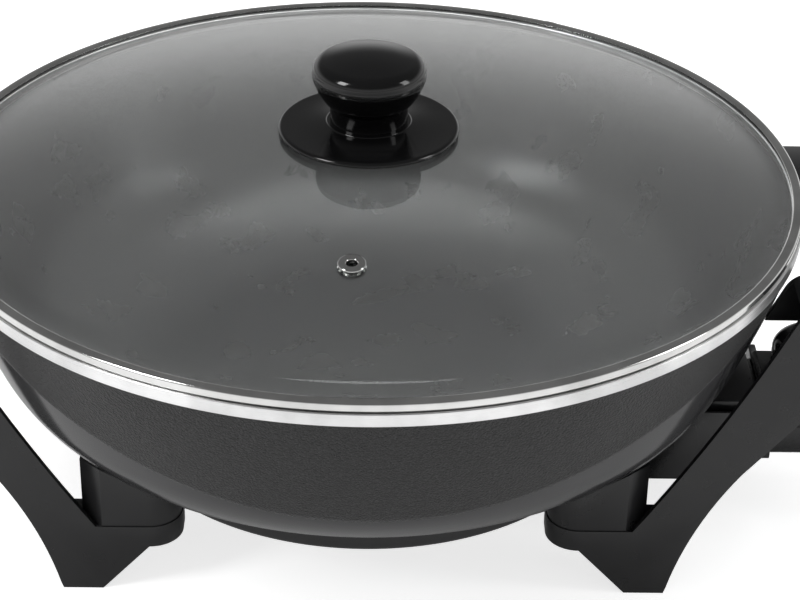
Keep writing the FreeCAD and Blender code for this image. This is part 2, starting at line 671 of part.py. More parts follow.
def make_sleeve():
    foot = (dim.pad_start, ORIGIN, dim.sleeve_height)
    length = dim.sleeve_end - dim.pad_start
    tube = cylinder("sleeve_tube", dim.sleeve_radius, foot, length, "x")
    bore = cylinder("sleeve_bore_rod", dim.sleeve_bore,
                    (dim.pad_start + dim.sheet_wall, ORIGIN, dim.sleeve_height), length, "x")
    return cut("probe_sleeve", tube, bore)


# The socket that guards the pins and takes the control's nose
def make_socket():
    root = box("socket_root",
               (dim.socket_root_x - dim.socket_root_length, -dim.socket_root_y, dim.socket_root_foot),
               (dim.socket_step_x, dim.socket_root_y, dim.socket_top))
    mouth = box("socket_mouth", (dim.socket_step_x, -dim.socket_mouth_y, dim.socket_mouth_foot),
                (dim.socket_end_x, dim.socket_mouth_y, dim.socket_top))
    cap = box("socket_cap", (dim.socket_step_x - dim.lug_overlap, -dim.socket_cap_y, dim.socket_top),
              (dim.socket_end_x, dim.socket_cap_y, dim.socket_cap_top))
    wall = dim.socket_wall
    partition = dim.bead_start + dim.bead_length / 2 - wall / 2
    tools = [
        box("socket_heel_cut",
            (dim.cover_radius - dim.socket_back, -dim.socket_root_y - dim.over, dim.socket_heel_top),
            (dim.socket_heel_x, dim.socket_root_y + dim.over, dim.socket_top + dim.over)),
        cylinder("socket_cover_cut", dim.cover_radius + dim.cover_clearance, (ORIGIN, ORIGIN, ORIGIN),
                 dim.shoulder_height),
        box("socket_mouth_hollow",
            (dim.socket_step_x - dim.over, wall - dim.socket_mouth_y, dim.socket_mouth_foot + wall),
            (dim.socket_end_x + dim.over, dim.socket_mouth_y - wall, dim.socket_top - wall / 2)),
        box("socket_root_hollow", (partition + wall, wall - dim.socket_root_y, dim.socket_root_foot + wall),
            (dim.socket_step_x - wall / 2, dim.socket_root_y - wall, dim.socket_top - wall)),
        box("socket_inner_way", (partition + wall, wall - dim.socket_mouth_y, dim.socket_mouth_foot + wall),
            (dim.socket_step_x, dim.socket_mouth_y - wall, dim.socket_top - wall)),
        box("socket_back_hollow",
            (dim.cover_radius - dim.socket_back, wall - dim.socket_root_y, dim.socket_root_foot + wall),
            (partition, dim.socket_root_y - wall, dim.socket_top - wall)),
        cylinder("socket_sleeve_hole", dim.sleeve_radius, (partition - dim.over, ORIGIN, dim.sleeve_height),
                 wall + dim.over * 2, "x"),
        *mirrored_pair("socket_groove", lambda name: box(
            name, (dim.socket_step_x + dim.groove_inset, dim.socket_cap_y, dim.groove_foot),
            (dim.socket_end_x - dim.groove_inset, dim.groove_side_y, dim.socket_top + dim.over))),
    ]
    for side, sign in (("rear", 1), ("front", -1)):
        foot = (partition - dim.over, dim.pin_offset * sign, dim.pin_height)
        tools.append(cylinder(f"socket_bead_hole_{side}", dim.bead_radius, foot,
                              wall + dim.over * 2, "x"))
        foot = (dim.socket_lug_x, dim.socket_lug_y * sign, dim.socket_top - wall - dim.over)
        tools.append(cylinder(f"socket_screw_hole_{side}", dim.small_screw_radius + dim.play, foot,
                              wall + dim.over * 2))
    return cut("probe_socket", fuse("socket_solid", root, mouth, cap), fuse("socket_tools", *tools))


# The side frames: two legs and a handle in one moulding
def side_outline():
    """A leg and the end of its handle, seen from the front, from the foot's inner corner."""
    edge = dim.grip_edge
    knee_end = dim.knee_x + dim.knee_curve * sine(dim.knee_lean)
    return [
        (dim.foot_inner_x, ORIGIN),
        (dim.foot_outer_x, ORIGIN),
        (dim.heel_x, dim.heel_height),
        (dim.calf_x, dim.calf_height, dim.calf_curve, RIGHT),
        (dim.knee_x, dim.knee_height),
        (knee_end, dim.grip_foot, dim.knee_curve, RIGHT),
        (dim.grip_outer_x - edge, dim.grip_foot),
        (dim.grip_outer_x, dim.grip_foot + edge, edge, LEFT),
        (dim.grip_outer_x, dim.grip_top - edge),
        (dim.grip_outer_x - edge, dim.grip_top, edge, LEFT),
        (dim.crest_x, dim.grip_top),
        (dim.crest_foot_x, dim.crest_foot_height, dim.crest_curve, LEFT),
        (dim.notch_x, dim.arm_top, dim.shin_curve, RIGHT),
        (dim.arm_flat_x, dim.arm_top),
        (dim.arm_flat_x, dim.arm_foot),
    ]


def arm_outline(inset, rear, root_x):
    """An arm seen from above, on the -Y side: its inner end is rounded."""
    front = inset - dim.panel_y
    corner = dim.arm_flat_x - dim.arm_end_x - inset
    return [
        (root_x, rear),
        (dim.arm_end_x + inset, rear),
        (dim.arm_end_x + inset, front + corner),
        (dim.arm_flat_x, front, corner, LEFT),
        (root_x, front),
    ]


def handle_plan():
    """The handle seen from above: open towards the bowl, with a bar for the fingers."""
    inner_x, corner, gap = dim.crest_foot_x - dim.gap_reach, dim.grip_corner, dim.gap_corner
    outer_x, side, mouth = dim.grip_outer_x, dim.panel_y, dim.arm_gap_y
    return [
        (inner_x, -side),
        (outer_x - corner, -side),
        (outer_x, corner - side, corner, LEFT),
        (outer_x, side - corner),
        (outer_x - corner, side, corner, LEFT),
        (inner_x, side),
        (inner_x, mouth),
        (dim.grip_inner_x - gap, mouth),
        (dim.grip_inner_x, mouth - gap, gap, RIGHT),
        (dim.grip_inner_x, gap - mouth),
        (dim.grip_inner_x - gap, -mouth, gap, RIGHT),
        (inner_x, -mouth),
    ]


def make_leg():
    """The front leg, its arm and its hollow, open at the back."""
    wall = dim.frame_wall
    leg = extruded("leg_solid", "XZ_Plane", side_outline(), dim.panel_y - dim.leg_depth, dim.leg_depth)
    outer = extruded("leg_plan", "XY_Plane", [
        (dim.arm_end_x, -dim.panel_y),
        (dim.grip_outer_x - dim.grip_corner, -dim.panel_y),
        (dim.grip_outer_x, dim.grip_corner - dim.panel_y, dim.grip_corner, LEFT),
        (dim.grip_outer_x, ORIGIN),
        (dim.arm_end_x, ORIGIN),
    ], ORIGIN, dim.grip_top)
    arm = extruded("arm_solid", "XY_Plane", arm_outline(ORIGIN, dim.leg_depth - dim.panel_y, dim.arm_root_x),
                   dim.arm_foot, dim.arm_top - dim.arm_foot)
    arm_hollow = extruded("arm_hollow", "XY_Plane",
                          arm_outline(wall, dim.leg_depth - dim.panel_y + dim.lug_overlap,
                                       dim.arm_root_x + dim.over),
                          dim.arm_foot - dim.over, dim.arm_top - dim.arm_foot - wall + dim.over)
    return common("leg_trimmed", leg, outer), cut("arm_shell", arm, arm_hollow)


def make_leg_hollow():
    """The space inside a leg and its end of the handle: the outline again, moved in and up."""
    wall = dim.frame_wall
    space = extruded("leg_hollow_solid", "XZ_Plane", side_outline(),
                     dim.arm_gap_y + wall, dim.panel_y - dim.arm_gap_y - wall * 2)
    place(space, -dim.hollow_shift_x, ORIGIN, dim.hollow_shift_z)
    inside = extruded("leg_hollow_plan", "XY_Plane", [
        (dim.arm_end_x, wall - dim.panel_y),
        (dim.grip_outer_x - dim.grip_corner, wall - dim.panel_y),
        (dim.grip_outer_x - wall, dim.grip_corner - dim.panel_y, dim.grip_corner - wall, LEFT),
        (dim.grip_outer_x - wall, ORIGIN),
        (dim.arm_end_x, ORIGIN),
    ], ORIGIN, dim.grip_top - wall)
    return common("leg_hollow", space, inside)


def make_frames():
    leg, arm = make_leg()
    rear_leg = mirrored("rear_leg_solid", leg, (0, 1, 0))
    rear_arm = mirrored("rear_arm_solid", arm, (0, 1, 0))
    hollow = make_leg_hollow()
    rear_hollow = mirrored("rear_leg_hollow", hollow, (0, 1, 0))
    bar = extruded("handle_side", "XZ_Plane", side_outline(), -dim.panel_y, dim.panel_y * 2)
    plan = extruded("handle_plan", "XY_Plane", handle_plan(), dim.grip_foot, dim.grip_top - dim.grip_foot)
    handle = common("handle_solid", bar, plan)
    shells = cut("frame_shells", fuse("frame_solid", leg, rear_leg, handle),
                 fuse("frame_hollows", hollow, rear_hollow))
    holes = fuse("frame_screw_holes", *mirrored_pair("frame_screw_hole", lambda name: cylinder(
        name, dim.screw_radius + dim.play, (dim.lug_x, dim.lug_y, dim.arm_foot), dim.arm_top)))
    right = cut("side_frame_right", fuse("frame_walls", shells, arm, rear_arm), holes)
    return right, mirrored("side_frame_left", right, (1, 0, 0))


def make_blocks():
    """Blocks between the arms and the bowl: their tops slope down towards the middle."""
    front = dim.block_inset - dim.panel_y
    corner = dim.arm_flat_x - dim.arm_end_x - dim.block_inset
    rear = dim.leg_depth - dim.panel_y + dim.block_inset
    solid = extruded("block_solid", "XY_Plane", [
        (dim.block_side_x, rear),
        (dim.arm_end_x + dim.block_inset, rear),
        (dim.arm_end_x + dim.block_inset, front + corner),
        (dim.arm_flat_x, front, corner, LEFT),
        (dim.block_corner_x, front),
        (dim.block_side_x, -dim.block_side_y),
    ], dim.arm_top, dim.block_top - dim.arm_top)
    fall = dim.block_level_radius * tangent(dim.block_slope)
    above = turned("block_slope_tool", [
        (ORIGIN, dim.block_top - fall),
        (dim.block_level_radius, dim.block_top),
        (dim.block_level_radius, dim.block_top + dim.tool_reach),
        (ORIGIN, dim.block_top + dim.tool_reach),
    ])
    cover = cylinder("block_cover_cut", dim.cover_radius + dim.cover_clearance,
                     (ORIGIN, ORIGIN, dim.cover_foot - dim.over),
                     dim.cover_top)
    lug = cylinder("block_lug_cut", dim.lug_radius + dim.play, (dim.lug_x, -dim.lug_y, dim.lug_foot),
                   dim.cover_top)
    screw = cylinder("block_screw_cut", dim.screw_radius + dim.play,
                     (dim.lug_x, -dim.lug_y, dim.arm_foot), dim.cover_top)
    front_right = cut("block_front_right", solid, fuse("block_tools", above, cover, lug, screw))
    rear_right = mirrored("block_rear_right", front_right, (0, 1, 0))
    return [front_right, rear_right,
            mirrored("block_front_left", front_right, (1, 0, 0)),
            mirrored("block_rear_left", rear_right, (1, 0, 0))]


# Fasteners of the base
def screw(name, radius, head_radius, head_height, foot, length):
    """A pan-head screw that points up: foot is the middle of its head's lower face."""
    head = cylinder(f"{name}_head", head_radius, foot, head_height)
    half = dim.driver_slot / 2
    driver = box(f"{name}_slot", (foot[0] - head_radius, foot[1] - half, foot[2] - dim.over),
                 (foot[0] + head_radius, foot[1] + half, foot[2] + head_height / 3))
    shank = cylinder(f"{name}_shank", radius, foot, length)
    return cut(name, fuse(f"{name}_solid", head, shank), driver)


def make_frame_fasteners():
    screws, washers = [], []
    seat = dim.arm_top - dim.frame_wall
    head = seat - dim.washer_height - dim.screw_head_height
    for side_x in (1, -1):
        for side_y in (1, -1):
            x, y = dim.lug_x * side_x, dim.lug_y * side_y
            number = len(screws) + 1
            screws.append(screw(f"frame_screw_{number}", dim.screw_radius, dim.screw_head_radius,
                                dim.screw_head_height, (x, y, head),
                                dim.lug_foot + dim.screw_reach - dim.thread_gap * 2 - head))
            disc = cylinder(f"washer_disc_{number}", dim.washer_radius,
                            (x, y, seat - dim.washer_height), dim.washer_height)
            hole = cylinder(f"washer_hole_{number}", dim.screw_radius + dim.play,
                            (x, y, seat - dim.washer_height * 2), dim.washer_height * 3)
            washers.append(cut(f"washer_{number}", disc, hole))
    return group("frame_screws", *screws), group("frame_washers", *washers)


def make_cover_screws():
    head = dim.cover_foot - dim.small_head_height
    return group("cover_screws", *(
        screw(f"cover_screw_{number}", dim.small_screw_radius, dim.small_head_radius,
              dim.small_head_height, (x, y, head), dim.small_head_height + dim.small_reach)
        for number, (x, y) in enumerate(circle_places(), start=1)))


def make_socket_screws():
    head = dim.socket_top - dim.socket_wall - dim.small_head_height
    return group("socket_screws", *(
        screw(f"socket_screw_{side}", dim.small_screw_radius, dim.small_head_radius, dim.small_head_height,
              (dim.socket_lug_x, dim.socket_lug_y * sign, head),
              dim.small_head_height + dim.socket_wall + dim.small_reach / 2 - dim.thread_gap)
        for side, sign in (("rear", 1), ("front", -1))))


# The lid
def glass_brim_top():
    return dim.rim_top + dim.lid_gap + dim.ring_height - dim.ring_wall


def make_glass():
    brim_top = glass_brim_top()
    brim_foot = brim_top - dim.glass_wall
    dome = dome_radius(dim.glass_brim, dim.glass_apex - brim_top)
    pane = turned("glass_pane", [
        (ORIGIN, dim.glass_apex),
        (dim.glass_brim, brim_top, dome, RIGHT),
        (dim.glass_radius, brim_top),
        (dim.glass_radius, brim_foot),
        (dim.glass_brim, brim_foot),
        (ORIGIN, dim.glass_apex - dim.glass_wall, dome, LEFT),
    ])
    stud_hole = cylinder("glass_stud_hole", dim.glass_hole,
                         (ORIGIN, ORIGIN, dim.glass_apex - dim.tool_reach / 2),
                         dim.tool_reach)
    vent_hole = stood_on_glass(cylinder("glass_vent_hole", dim.vent_neck + dim.vent_gap,
                                        (ORIGIN, ORIGIN, ORIGIN), dim.tool_reach), -dim.tool_reach / 2)
    return cut("lid_glass", pane, fuse("glass_holes", stud_hole, vent_hole))


def stood_on_glass(item, along):
    """Stand a piece square on the glass at the vent, moved by a length along its own axis."""
    dome = dome_radius(dim.glass_brim, dim.glass_apex - glass_brim_top())
    reach = dim.vent_x * dim.vent_x + dim.vent_y * dim.vent_y
    depth = root(dome * dome - reach)
    tilt = Size(math.degrees(math.asin(math.sqrt(reach.value) / dome.value)),
                f"asin(sqrt({reach.text}) / {dome.text})")
    away = math.atan2(dim.vent_y.value, dim.vent_x.value)
    hinge = FreeCAD.Vector(-math.sin(away), math.cos(away), 0)
    item.Placement.Rotation = FreeCAD.Rotation(hinge, tilt.value)
    item.setExpression("Placement.Rotation.Angle", tilt.text)
    share = along / dome
    return place(item, dim.vent_x * (share + 1), dim.vent_y * (share + 1),
                 dim.glass_apex - dome + depth * (share + 1))


def make_vent():
    lip, radius, neck, bore = dim.vent_lip, dim.vent_radius, dim.vent_neck, dim.vent_bore
    seat, foot = dim.vent_gap, -dim.glass_wall - dim.vent_gap
    eyelet = turned("vent_grommet", [
        (bore, foot - lip),
        (radius, foot - lip),
        (radius, foot),
        (neck, foot),
        (neck, seat),
        (radius, seat),
        (radius, lip * 0.5),
        (radius - lip * 0.5, lip, lip * 0.5, LEFT),
        (bore + lip, lip),
        (bore, ORIGIN, lip, LEFT),
    ])
    return stood_on_glass(eyelet, ORIGIN)


def quarter_turn(middle_x, middle_z, radius, start):
    """A quarter of a rounding in short arcs, from a start angle in degrees, without its first point."""
    for number in range(1, EDGE_ARCS + 1):
        angle = as_size(start + 90 * number / EDGE_ARCS)
        yield middle_x + radius * cosine(angle), middle_z + radius * sine(angle), radius, LEFT


def make_ring():
    foot = dim.rim_top + dim.lid_gap
    top, wall, edge = foot + dim.ring_height, dim.ring_wall, dim.ring_edge
    outer, lip = dim.ring_radius, dim.ring_lip_radius
    return turned("lid_ring", [
        (lip, foot),
        (outer - edge, foot),
        *quarter_turn(outer - edge, foot + edge, edge, -90),
        (outer, top - edge),
        *quarter_turn(outer - edge, top - edge, edge, 0),
        (lip, top),
        (lip, top - wall),
        (outer - edge, top - wall),
        (outer - edge, foot + wall),
        (lip, foot + wall),
    ])


def make_skirt():
    foot, edge = dim.skirt_foot, dim.skirt_edge
    inner = dim.skirt_radius - edge
    return turned("knob_skirt", [
        (dim.glass_hole, foot + edge),
        (inner, foot + edge / 2),
        (inner, foot),
        (dim.skirt_radius, foot),
        (dim.skirt_radius, foot + edge / 2),
        (dim.skirt_radius - edge / 2, foot + edge, edge / 2, LEFT),
        (dim.skirt_well, dim.skirt_top),
        (dim.glass_hole, dim.skirt_top),
    ])


def make_knob():
    return turned("lid_knob", [
        (dim.stud_radius, dim.skirt_top),
        (dim.neck_radius, dim.skirt_top),
        (dim.neck_radius, dim.neck_top),
        (dim.neck_radius + dim.neck_step, dim.neck_top),
        (dim.knob_radius, dim.knob_waist, dim.knob_belly, LEFT),
        (dim.knob_radius, dim.knob_rise, dim.knob_side, LEFT),
        (dim.knob_crown, dim.knob_top - dim.knob_shoulder / 2, dim.knob_shoulder, LEFT),
        (ORIGIN, dim.knob_top, dome_radius(dim.knob_crown, dim.knob_shoulder / 2), LEFT),
        (ORIGIN, dim.stud_top + dim.over),
        (dim.stud_radius, dim.stud_top + dim.over),
    ])


def make_knob_fixings():
    under = dim.glass_apex - dim.glass_wall - dim.vent_gap
    height = dim.gasket_height
    washer_foot = under - height * 2
    rings = []
    for name, foot, radius in (("knob_gasket", under - height, dim.gasket_radius),
                               ("knob_washer", washer_foot, dim.lid_washer_radius),
                               ("knob_seal", dim.glass_apex + dim.seal_gap, dim.gasket_radius)):
        disc = cylinder(f"{name}_disc", radius, (ORIGIN, ORIGIN, foot), height)
        hole = cylinder(f"{name}_hole", dim.stud_radius + dim.play, (ORIGIN, ORIGIN, foot - dim.over),
                        height + dim.over * 2)
        rings.append(cut(name, disc, hole))
    head = washer_foot - dim.screw_head_height
    stud = screw("knob_screw", dim.stud_radius, dim.screw_head_radius, dim.screw_head_height,
                 (ORIGIN, ORIGIN, head), dim.stud_top - head)
    return [stud, *rings]


# The control: case, probe, contacts, switch and dial
def case_plan(inset):
    """The case seen from above: its outer corners are rounded."""
    start, end, side = dim.case_start_x + inset, dim.case_end_x - inset, dim.case_half_y - inset
    corner = dim.case_corner - inset
    return [
        (start, -side),
        (end - corner, -side),
        (end, corner - side, corner, LEFT),
        (end, side - corner),
        (end - corner, side, corner, LEFT),
        (start, side),
    ]


def make_flange(name, edge, along):
    """The control's flange from the seam to its lower (-1) or upper (1) edge."""
    side, corner, seam = dim.flange_half_y, dim.flange_corner, dim.case_seam
    return extruded(name, "YZ_Plane", [
        (side * along, seam),
        (side * along, edge - corner * along),
        ((side - corner) * along, edge, corner, LEFT),
        ((corner - side) * along, edge),
        (-side * along, edge - corner * along, corner, LEFT),
        (-side * along, seam),
    ], dim.flange_start_x, dim.flange_end_x - dim.flange_start_x)


def make_case_half(name, foot, height, hollow_foot, nose_foot, nose_top, flange):
    """The outside and the cutting tools of one half of the case with its part of the nose."""
    wall = dim.case_wall
    outer = extruded(f"{name}_outer", "XY_Plane", case_plan(ORIGIN), foot, height)
    inner = extruded(f"{name}_inner", "XY_Plane", case_plan(wall), hollow_foot, height - wall)
    nose = box(f"{name}_nose", (dim.nose_start_x, -dim.nose_half_y, nose_foot),
               (dim.case_start_x + wall, dim.nose_half_y, nose_top))
    ways = []
    for side, sign in (("rear", 1), ("front", -1)):
        ways.append(cylinder(f"{name}_contact_{side}", dim.contact_radius,
                             (dim.nose_start_x - dim.over, dim.pin_offset * sign, dim.pin_height),
                             dim.contact_end_x - dim.nose_start_x + dim.over, "x"))
    ways.append(cylinder(f"{name}_probe", dim.probe_radius,
                         (dim.nose_start_x - dim.over, ORIGIN, dim.sleeve_height),
                         dim.probe_end_x - dim.nose_start_x + dim.over, "x"))
    return fuse(f"{name}_solid", outer, nose, flange), inner, ways


def post_places():
    """Places of the four screws that close the case, as (x, y)."""
    for x in (dim.case_start_x + dim.case_post_start, dim.case_end_x - dim.case_post_end):
        for sign in (1, -1):
            yield x, (dim.case_half_y - dim.case_post_inset) * sign


def make_posts(name, radius, foot, height):
    return fuse(name, *(cylinder(f"{name}_{number}", radius, (x, y, foot), height)
                        for number, (x, y) in enumerate(post_places(), start=1)))


def make_case():
    wall, seam, play = dim.case_wall, dim.case_seam, dim.play
    lower, hollow, ways = make_case_half("case_lower", dim.case_foot, seam - dim.case_foot,
                                         dim.case_foot + wall, dim.nose_foot, seam,
                                         make_flange("flange_lower", dim.flange_foot, -1))
    cord = cylinder("cord_outlet", dim.cord_hole, (dim.case_end_x - wall * 3, ORIGIN, dim.cord_height),
                    wall * 4, "x")
    shell = cut("case_lower_shell", chamfered("case_lower_chamfered", lower, dim.case_foot), hollow)
    posts = make_posts("case_lower_posts", dim.case_post_radius, dim.case_foot + dim.over,
                       seam - dim.case_foot - dim.over)
    holes = make_posts("case_screw_ways", dim.case_screw_radius + play, dim.case_foot - dim.over, seam)
    seats = make_posts("case_screw_seats", dim.case_screw_head + play, dim.case_foot - dim.over,
                       dim.case_head_height + dim.head_play)
    lower = cut("control_case_lower", fuse("case_lower_walls", shell, posts),
                fuse("case_lower_tools", *ways, cord, holes, seats))

    upper, hollow, ways = make_case_half("case_upper", seam, dim.case_top - seam, seam, seam, dim.nose_top,
                                         make_flange("flange_upper", dim.flange_top, 1))
    spindle = cylinder("spindle_hole", dim.spindle_radius + play * 2,
                       (dim.dial_x, ORIGIN, dim.case_top - wall * 2), wall * 3)
    lens = cylinder("lens_hole", dim.lens_radius, (dim.lens_x, ORIGIN, dim.case_top - wall * 2), wall * 3)
    shell = cut("case_upper_shell", chamfered("case_upper_chamfered", upper, dim.case_top), hollow)
    bosses = make_posts("case_upper_bosses", dim.case_post_radius, seam, dim.case_top - seam - dim.over)
    threads = make_posts("case_screw_threads", dim.case_screw_radius, seam - dim.over, dim.small_reach)
    upper = cut("control_case_upper", fuse("case_upper_walls", shell, bosses),
                fuse("case_upper_tools", *ways, spindle, lens, threads))
    return lower, upper


def chamfered(name, base, height):
    """Bevel the edges of a case half that lie in its outer face."""
    doc.recompute()
    item = doc.addObject("Part::Chamfer", name)
    item.Base = base
    size = dim.case_chamfer.value
    item.Edges = [(number, size, size) for number, edge in enumerate(base.Shape.Edges, start=1)
                  if abs(edge.BoundBox.ZMin - height.value) < 0.01 and edge.BoundBox.ZLength < 0.01]
    return item


def make_probe():
    rod = cylinder("probe_bar", dim.probe_radius, (dim.probe_start_x, ORIGIN, dim.sleeve_height),
                   dim.probe_end_x - dim.probe_start_x, "x")
    return rounded_edges("probe_rod", rod, dim.probe_radius * 0.6,
                         lambda edge: edge.CenterOfMass.x < dim.probe_start_x.value + 1)


def make_contacts():
    sleeves = []
    for side, sign in (("rear", 1), ("front", -1)):
        foot = (dim.contact_start_x, dim.pin_offset * sign, dim.pin_height)
        tube = cylinder(f"contact_tube_{side}", dim.contact_radius, foot,
                        dim.contact_end_x - dim.contact_start_x, "x")
        bore = cylinder(f"contact_bore_{side}", dim.contact_bore, (foot[0] - dim.over, foot[1], foot[2]),
                        dim.contact_end_x - dim.contact_start_x - dim.over * 2, "x")
        sleeves.append(cut(f"contact_{side}", tube, bore))
    return group("contact_sleeves", *sleeves)


def make_switch():
    """The switch inside the case: a ceramic block, two blades and the bimetal strip."""
    floor = dim.case_foot + dim.case_wall
    near, far = dim.dial_x + dim.switch_near, dim.dial_x + dim.switch_far
    block = box("switch_block", (near, -dim.switch_half, floor),
                (far, dim.switch_half, floor + dim.switch_height))
    blades = []
    for number in (1, 2):
        height = floor + dim.blade_rise + dim.blade_pitch * (number - 1)
        blade = box(f"blade_strip_{number}", (dim.dial_x - dim.blade_reach, -dim.blade_half, height),
                    (far, dim.blade_half, height + dim.blade_wall))
        stud = cylinder(f"blade_contact_{number}", dim.contact_stud,
                        (dim.dial_x - dim.contact_stud_reach, ORIGIN, height), dim.contact_stud_height)
        blades.append(fuse(f"blade_{number}", blade, stud))
    strip = box("bimetal_strip",
                (dim.probe_end_x + dim.bimetal_gap, -dim.bimetal_half, floor + dim.bimetal_rise),
                (dim.dial_x + dim.bimetal_end, dim.bimetal_half,
                 floor + dim.bimetal_rise + dim.bimetal_wall))
    return block, group("switch_blades", *blades), strip


def make_lens():
    foot = dim.case_top - dim.case_wall
    return turned_at("pilot_lens", dim.lens_x, [
        (ORIGIN, foot),
        (dim.lens_radius, foot),
        (dim.lens_radius, dim.case_top),
        (ORIGIN, dim.case_top + dim.lens_rise, dome_radius(dim.lens_radius, dim.lens_rise), LEFT),
    ])


def turned_at(name, x, outline):
    return place(turned(name, outline), x, ORIGIN, ORIGIN)


def make_case_screws():
    head = dim.case_foot + dim.head_play - dim.over
    return group("case_screws", *(
        screw(f"case_screw_{number}", dim.case_screw_radius, dim.case_screw_head, dim.case_head_height,
              (x, y, head), dim.case_seam + dim.small_reach - dim.head_play - head)
        for number, (x, y) in enumerate(post_places(), start=1)))


def make_dial():
    foot = dim.case_top + dim.dial_gap
    rounding = dim.dial_top - dim.dial_skirt
    knob = turned_at("dial_knob", dim.dial_x, [
        (dim.spindle_radius, foot),
        (dim.dial_radius, foot),
        (dim.dial_radius, dim.dial_skirt),
        (dim.dial_radius - rounding, dim.dial_top, rounding, LEFT),
        (ORIGIN, dim.dial_top),
        (ORIGIN, dim.dial_top - dim.dial_roof),
        (dim.spindle_radius, dim.dial_top - dim.dial_roof),
    ])
    rod = cylinder("spindle_rod", dim.spindle_radius, (dim.dial_x, ORIGIN, dim.spindle_foot),
                   dim.dial_top - dim.dial_roof - dim.spindle_foot)
    cam = cylinder("spindle_cam", dim.cam_radius, (dim.dial_x + dim.cam_shift, ORIGIN, dim.spindle_foot),
                   dim.cam_height)
    return knob, fuse("dial_spindle", rod, cam)


bowl = make_bowl()
right_frame, left_frame = make_frames()
frame_screws, frame_washers = make_frame_fasteners()
case_lower, case_upper = make_case()
nodes = [
    bowl, make_cover(), make_element(), make_pins(), make_beads(), make_sleeve(), make_socket(),
    right_frame, left_frame, *make_blocks(), frame_screws, frame_washers,
    make_cover_screws(), make_socket_screws(),
    make_glass(), make_ring(), make_vent(), make_skirt(), make_knob(), *make_knob_fixings(),
    case_lower, case_upper, make_case_screws(), make_probe(), make_contacts(), *make_switch(), make_lens(),
    *make_dial(),
]

doc.recompute()
for item in doc.Objects:
    if "Invalid" in item.State or "Error" in item.State:
        raise RuntimeError(f"{item.Name} failed: {item.State}")
os.makedirs("parts", exist_ok=True)
for node in nodes:
    shape = node.Shape
    if shape.isNull() or not shape.isValid() or not shape.Solids:
        raise RuntimeError(f"{node.Label} has no valid solid")
    shape.exportStep(f"parts/{node.Label}.step")
    print(f"{node.Label}: {len(shape.Solids)} solids, {shape.Volume / 1000:.1f} cm3")
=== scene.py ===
"""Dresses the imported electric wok: meshes, finishes, lights and camera, in metres."""

import logging
import math
from dataclasses import dataclass, field
from enum import Enum
from typing import Iterable, Sequence

import bmesh
import bpy
from mathutils import Matrix, Vector


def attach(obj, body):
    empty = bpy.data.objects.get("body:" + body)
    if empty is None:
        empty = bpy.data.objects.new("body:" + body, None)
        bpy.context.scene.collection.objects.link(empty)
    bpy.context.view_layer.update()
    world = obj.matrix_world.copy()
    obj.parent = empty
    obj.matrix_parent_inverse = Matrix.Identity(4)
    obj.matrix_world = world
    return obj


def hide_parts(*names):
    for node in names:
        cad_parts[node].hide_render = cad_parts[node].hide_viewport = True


MM = 0.001
MERGE = 0.001 * MM
COPY_MERGE = 0.002 * MM
CURVE_STEP = 0.7
BEND_STEP = 3.0
EDGE_STEP = 15.0
Colour = tuple[float, float, float]
WHITE: Colour = (1.0, 1.0, 1.0)

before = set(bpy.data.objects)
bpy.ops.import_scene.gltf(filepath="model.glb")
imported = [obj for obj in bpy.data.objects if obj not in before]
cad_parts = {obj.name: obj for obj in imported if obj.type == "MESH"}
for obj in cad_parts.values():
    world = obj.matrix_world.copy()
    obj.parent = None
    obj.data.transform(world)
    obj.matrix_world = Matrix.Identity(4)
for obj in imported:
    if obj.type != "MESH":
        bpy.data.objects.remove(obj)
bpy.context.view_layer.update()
log = logging.getLogger("electric_wok")


class Turn(Enum):
    """Which way an arc of an outline bends, seen along the outline."""

    LEFT = 1
    RIGHT = -1


class Body(Enum):
    """The moving bodies that pieces ride on."""

    BASE = "base"
    LID = "lid"
    CONTROL = "control"
    DIAL = "dial"


@dataclass
class Outline:
    """An outline of radii and heights, in metres, walked from point to point.

    Args:
        points: The corners so far, each with its radius and its height.
        step: How many degrees of an arc one chord covers at most.
    """

    points: list[Vector] = field(default_factory=list)
    step: float = 6.0

    def line(self, radius: float, height: float) -> "Outline":
        """Go straight to a corner given in millimetres."""
        self.points.append(Vector((radius * MM, height * MM)))
        return self

    def arc(self, radius: float, height: float, curve: float, turn: Turn) -> "Outline":
        """Go round an arc of less than a half circle to a corner given in millimetres.

        Args:
            radius: Radius of the arc's end from the axis.
            height: Height of the arc's end.
            curve: Radius of the arc itself.
            turn: The side that the arc bends to.

        Returns:
            The outline itself, for the next call.
        """
        start, end = self.points[-1], Vector((radius * MM, height * MM))
        chord = end - start
        bend = max(curve * MM, chord.length / 2)
        rise = math.sqrt(max(bend ** 2 - (chord.length / 2) ** 2, 0.0))
        across = Vector((-chord.y, chord.x)).normalized()
        centre = start + chord / 2 + across * rise * turn.value
        opening = 2 * math.asin(min(chord.length / 2 / bend, 1.0))
        count = max(2, math.ceil(math.degrees(opening) / self.step))
        first = math.atan2(start.y - centre.y, start.x - centre.x)
        for number in range(1, count):
            angle = first + turn.value * opening * number / count
            self.points.append(centre + Vector((math.cos(angle), math.sin(angle))) * bend)
        self.points.append(end)
        return self


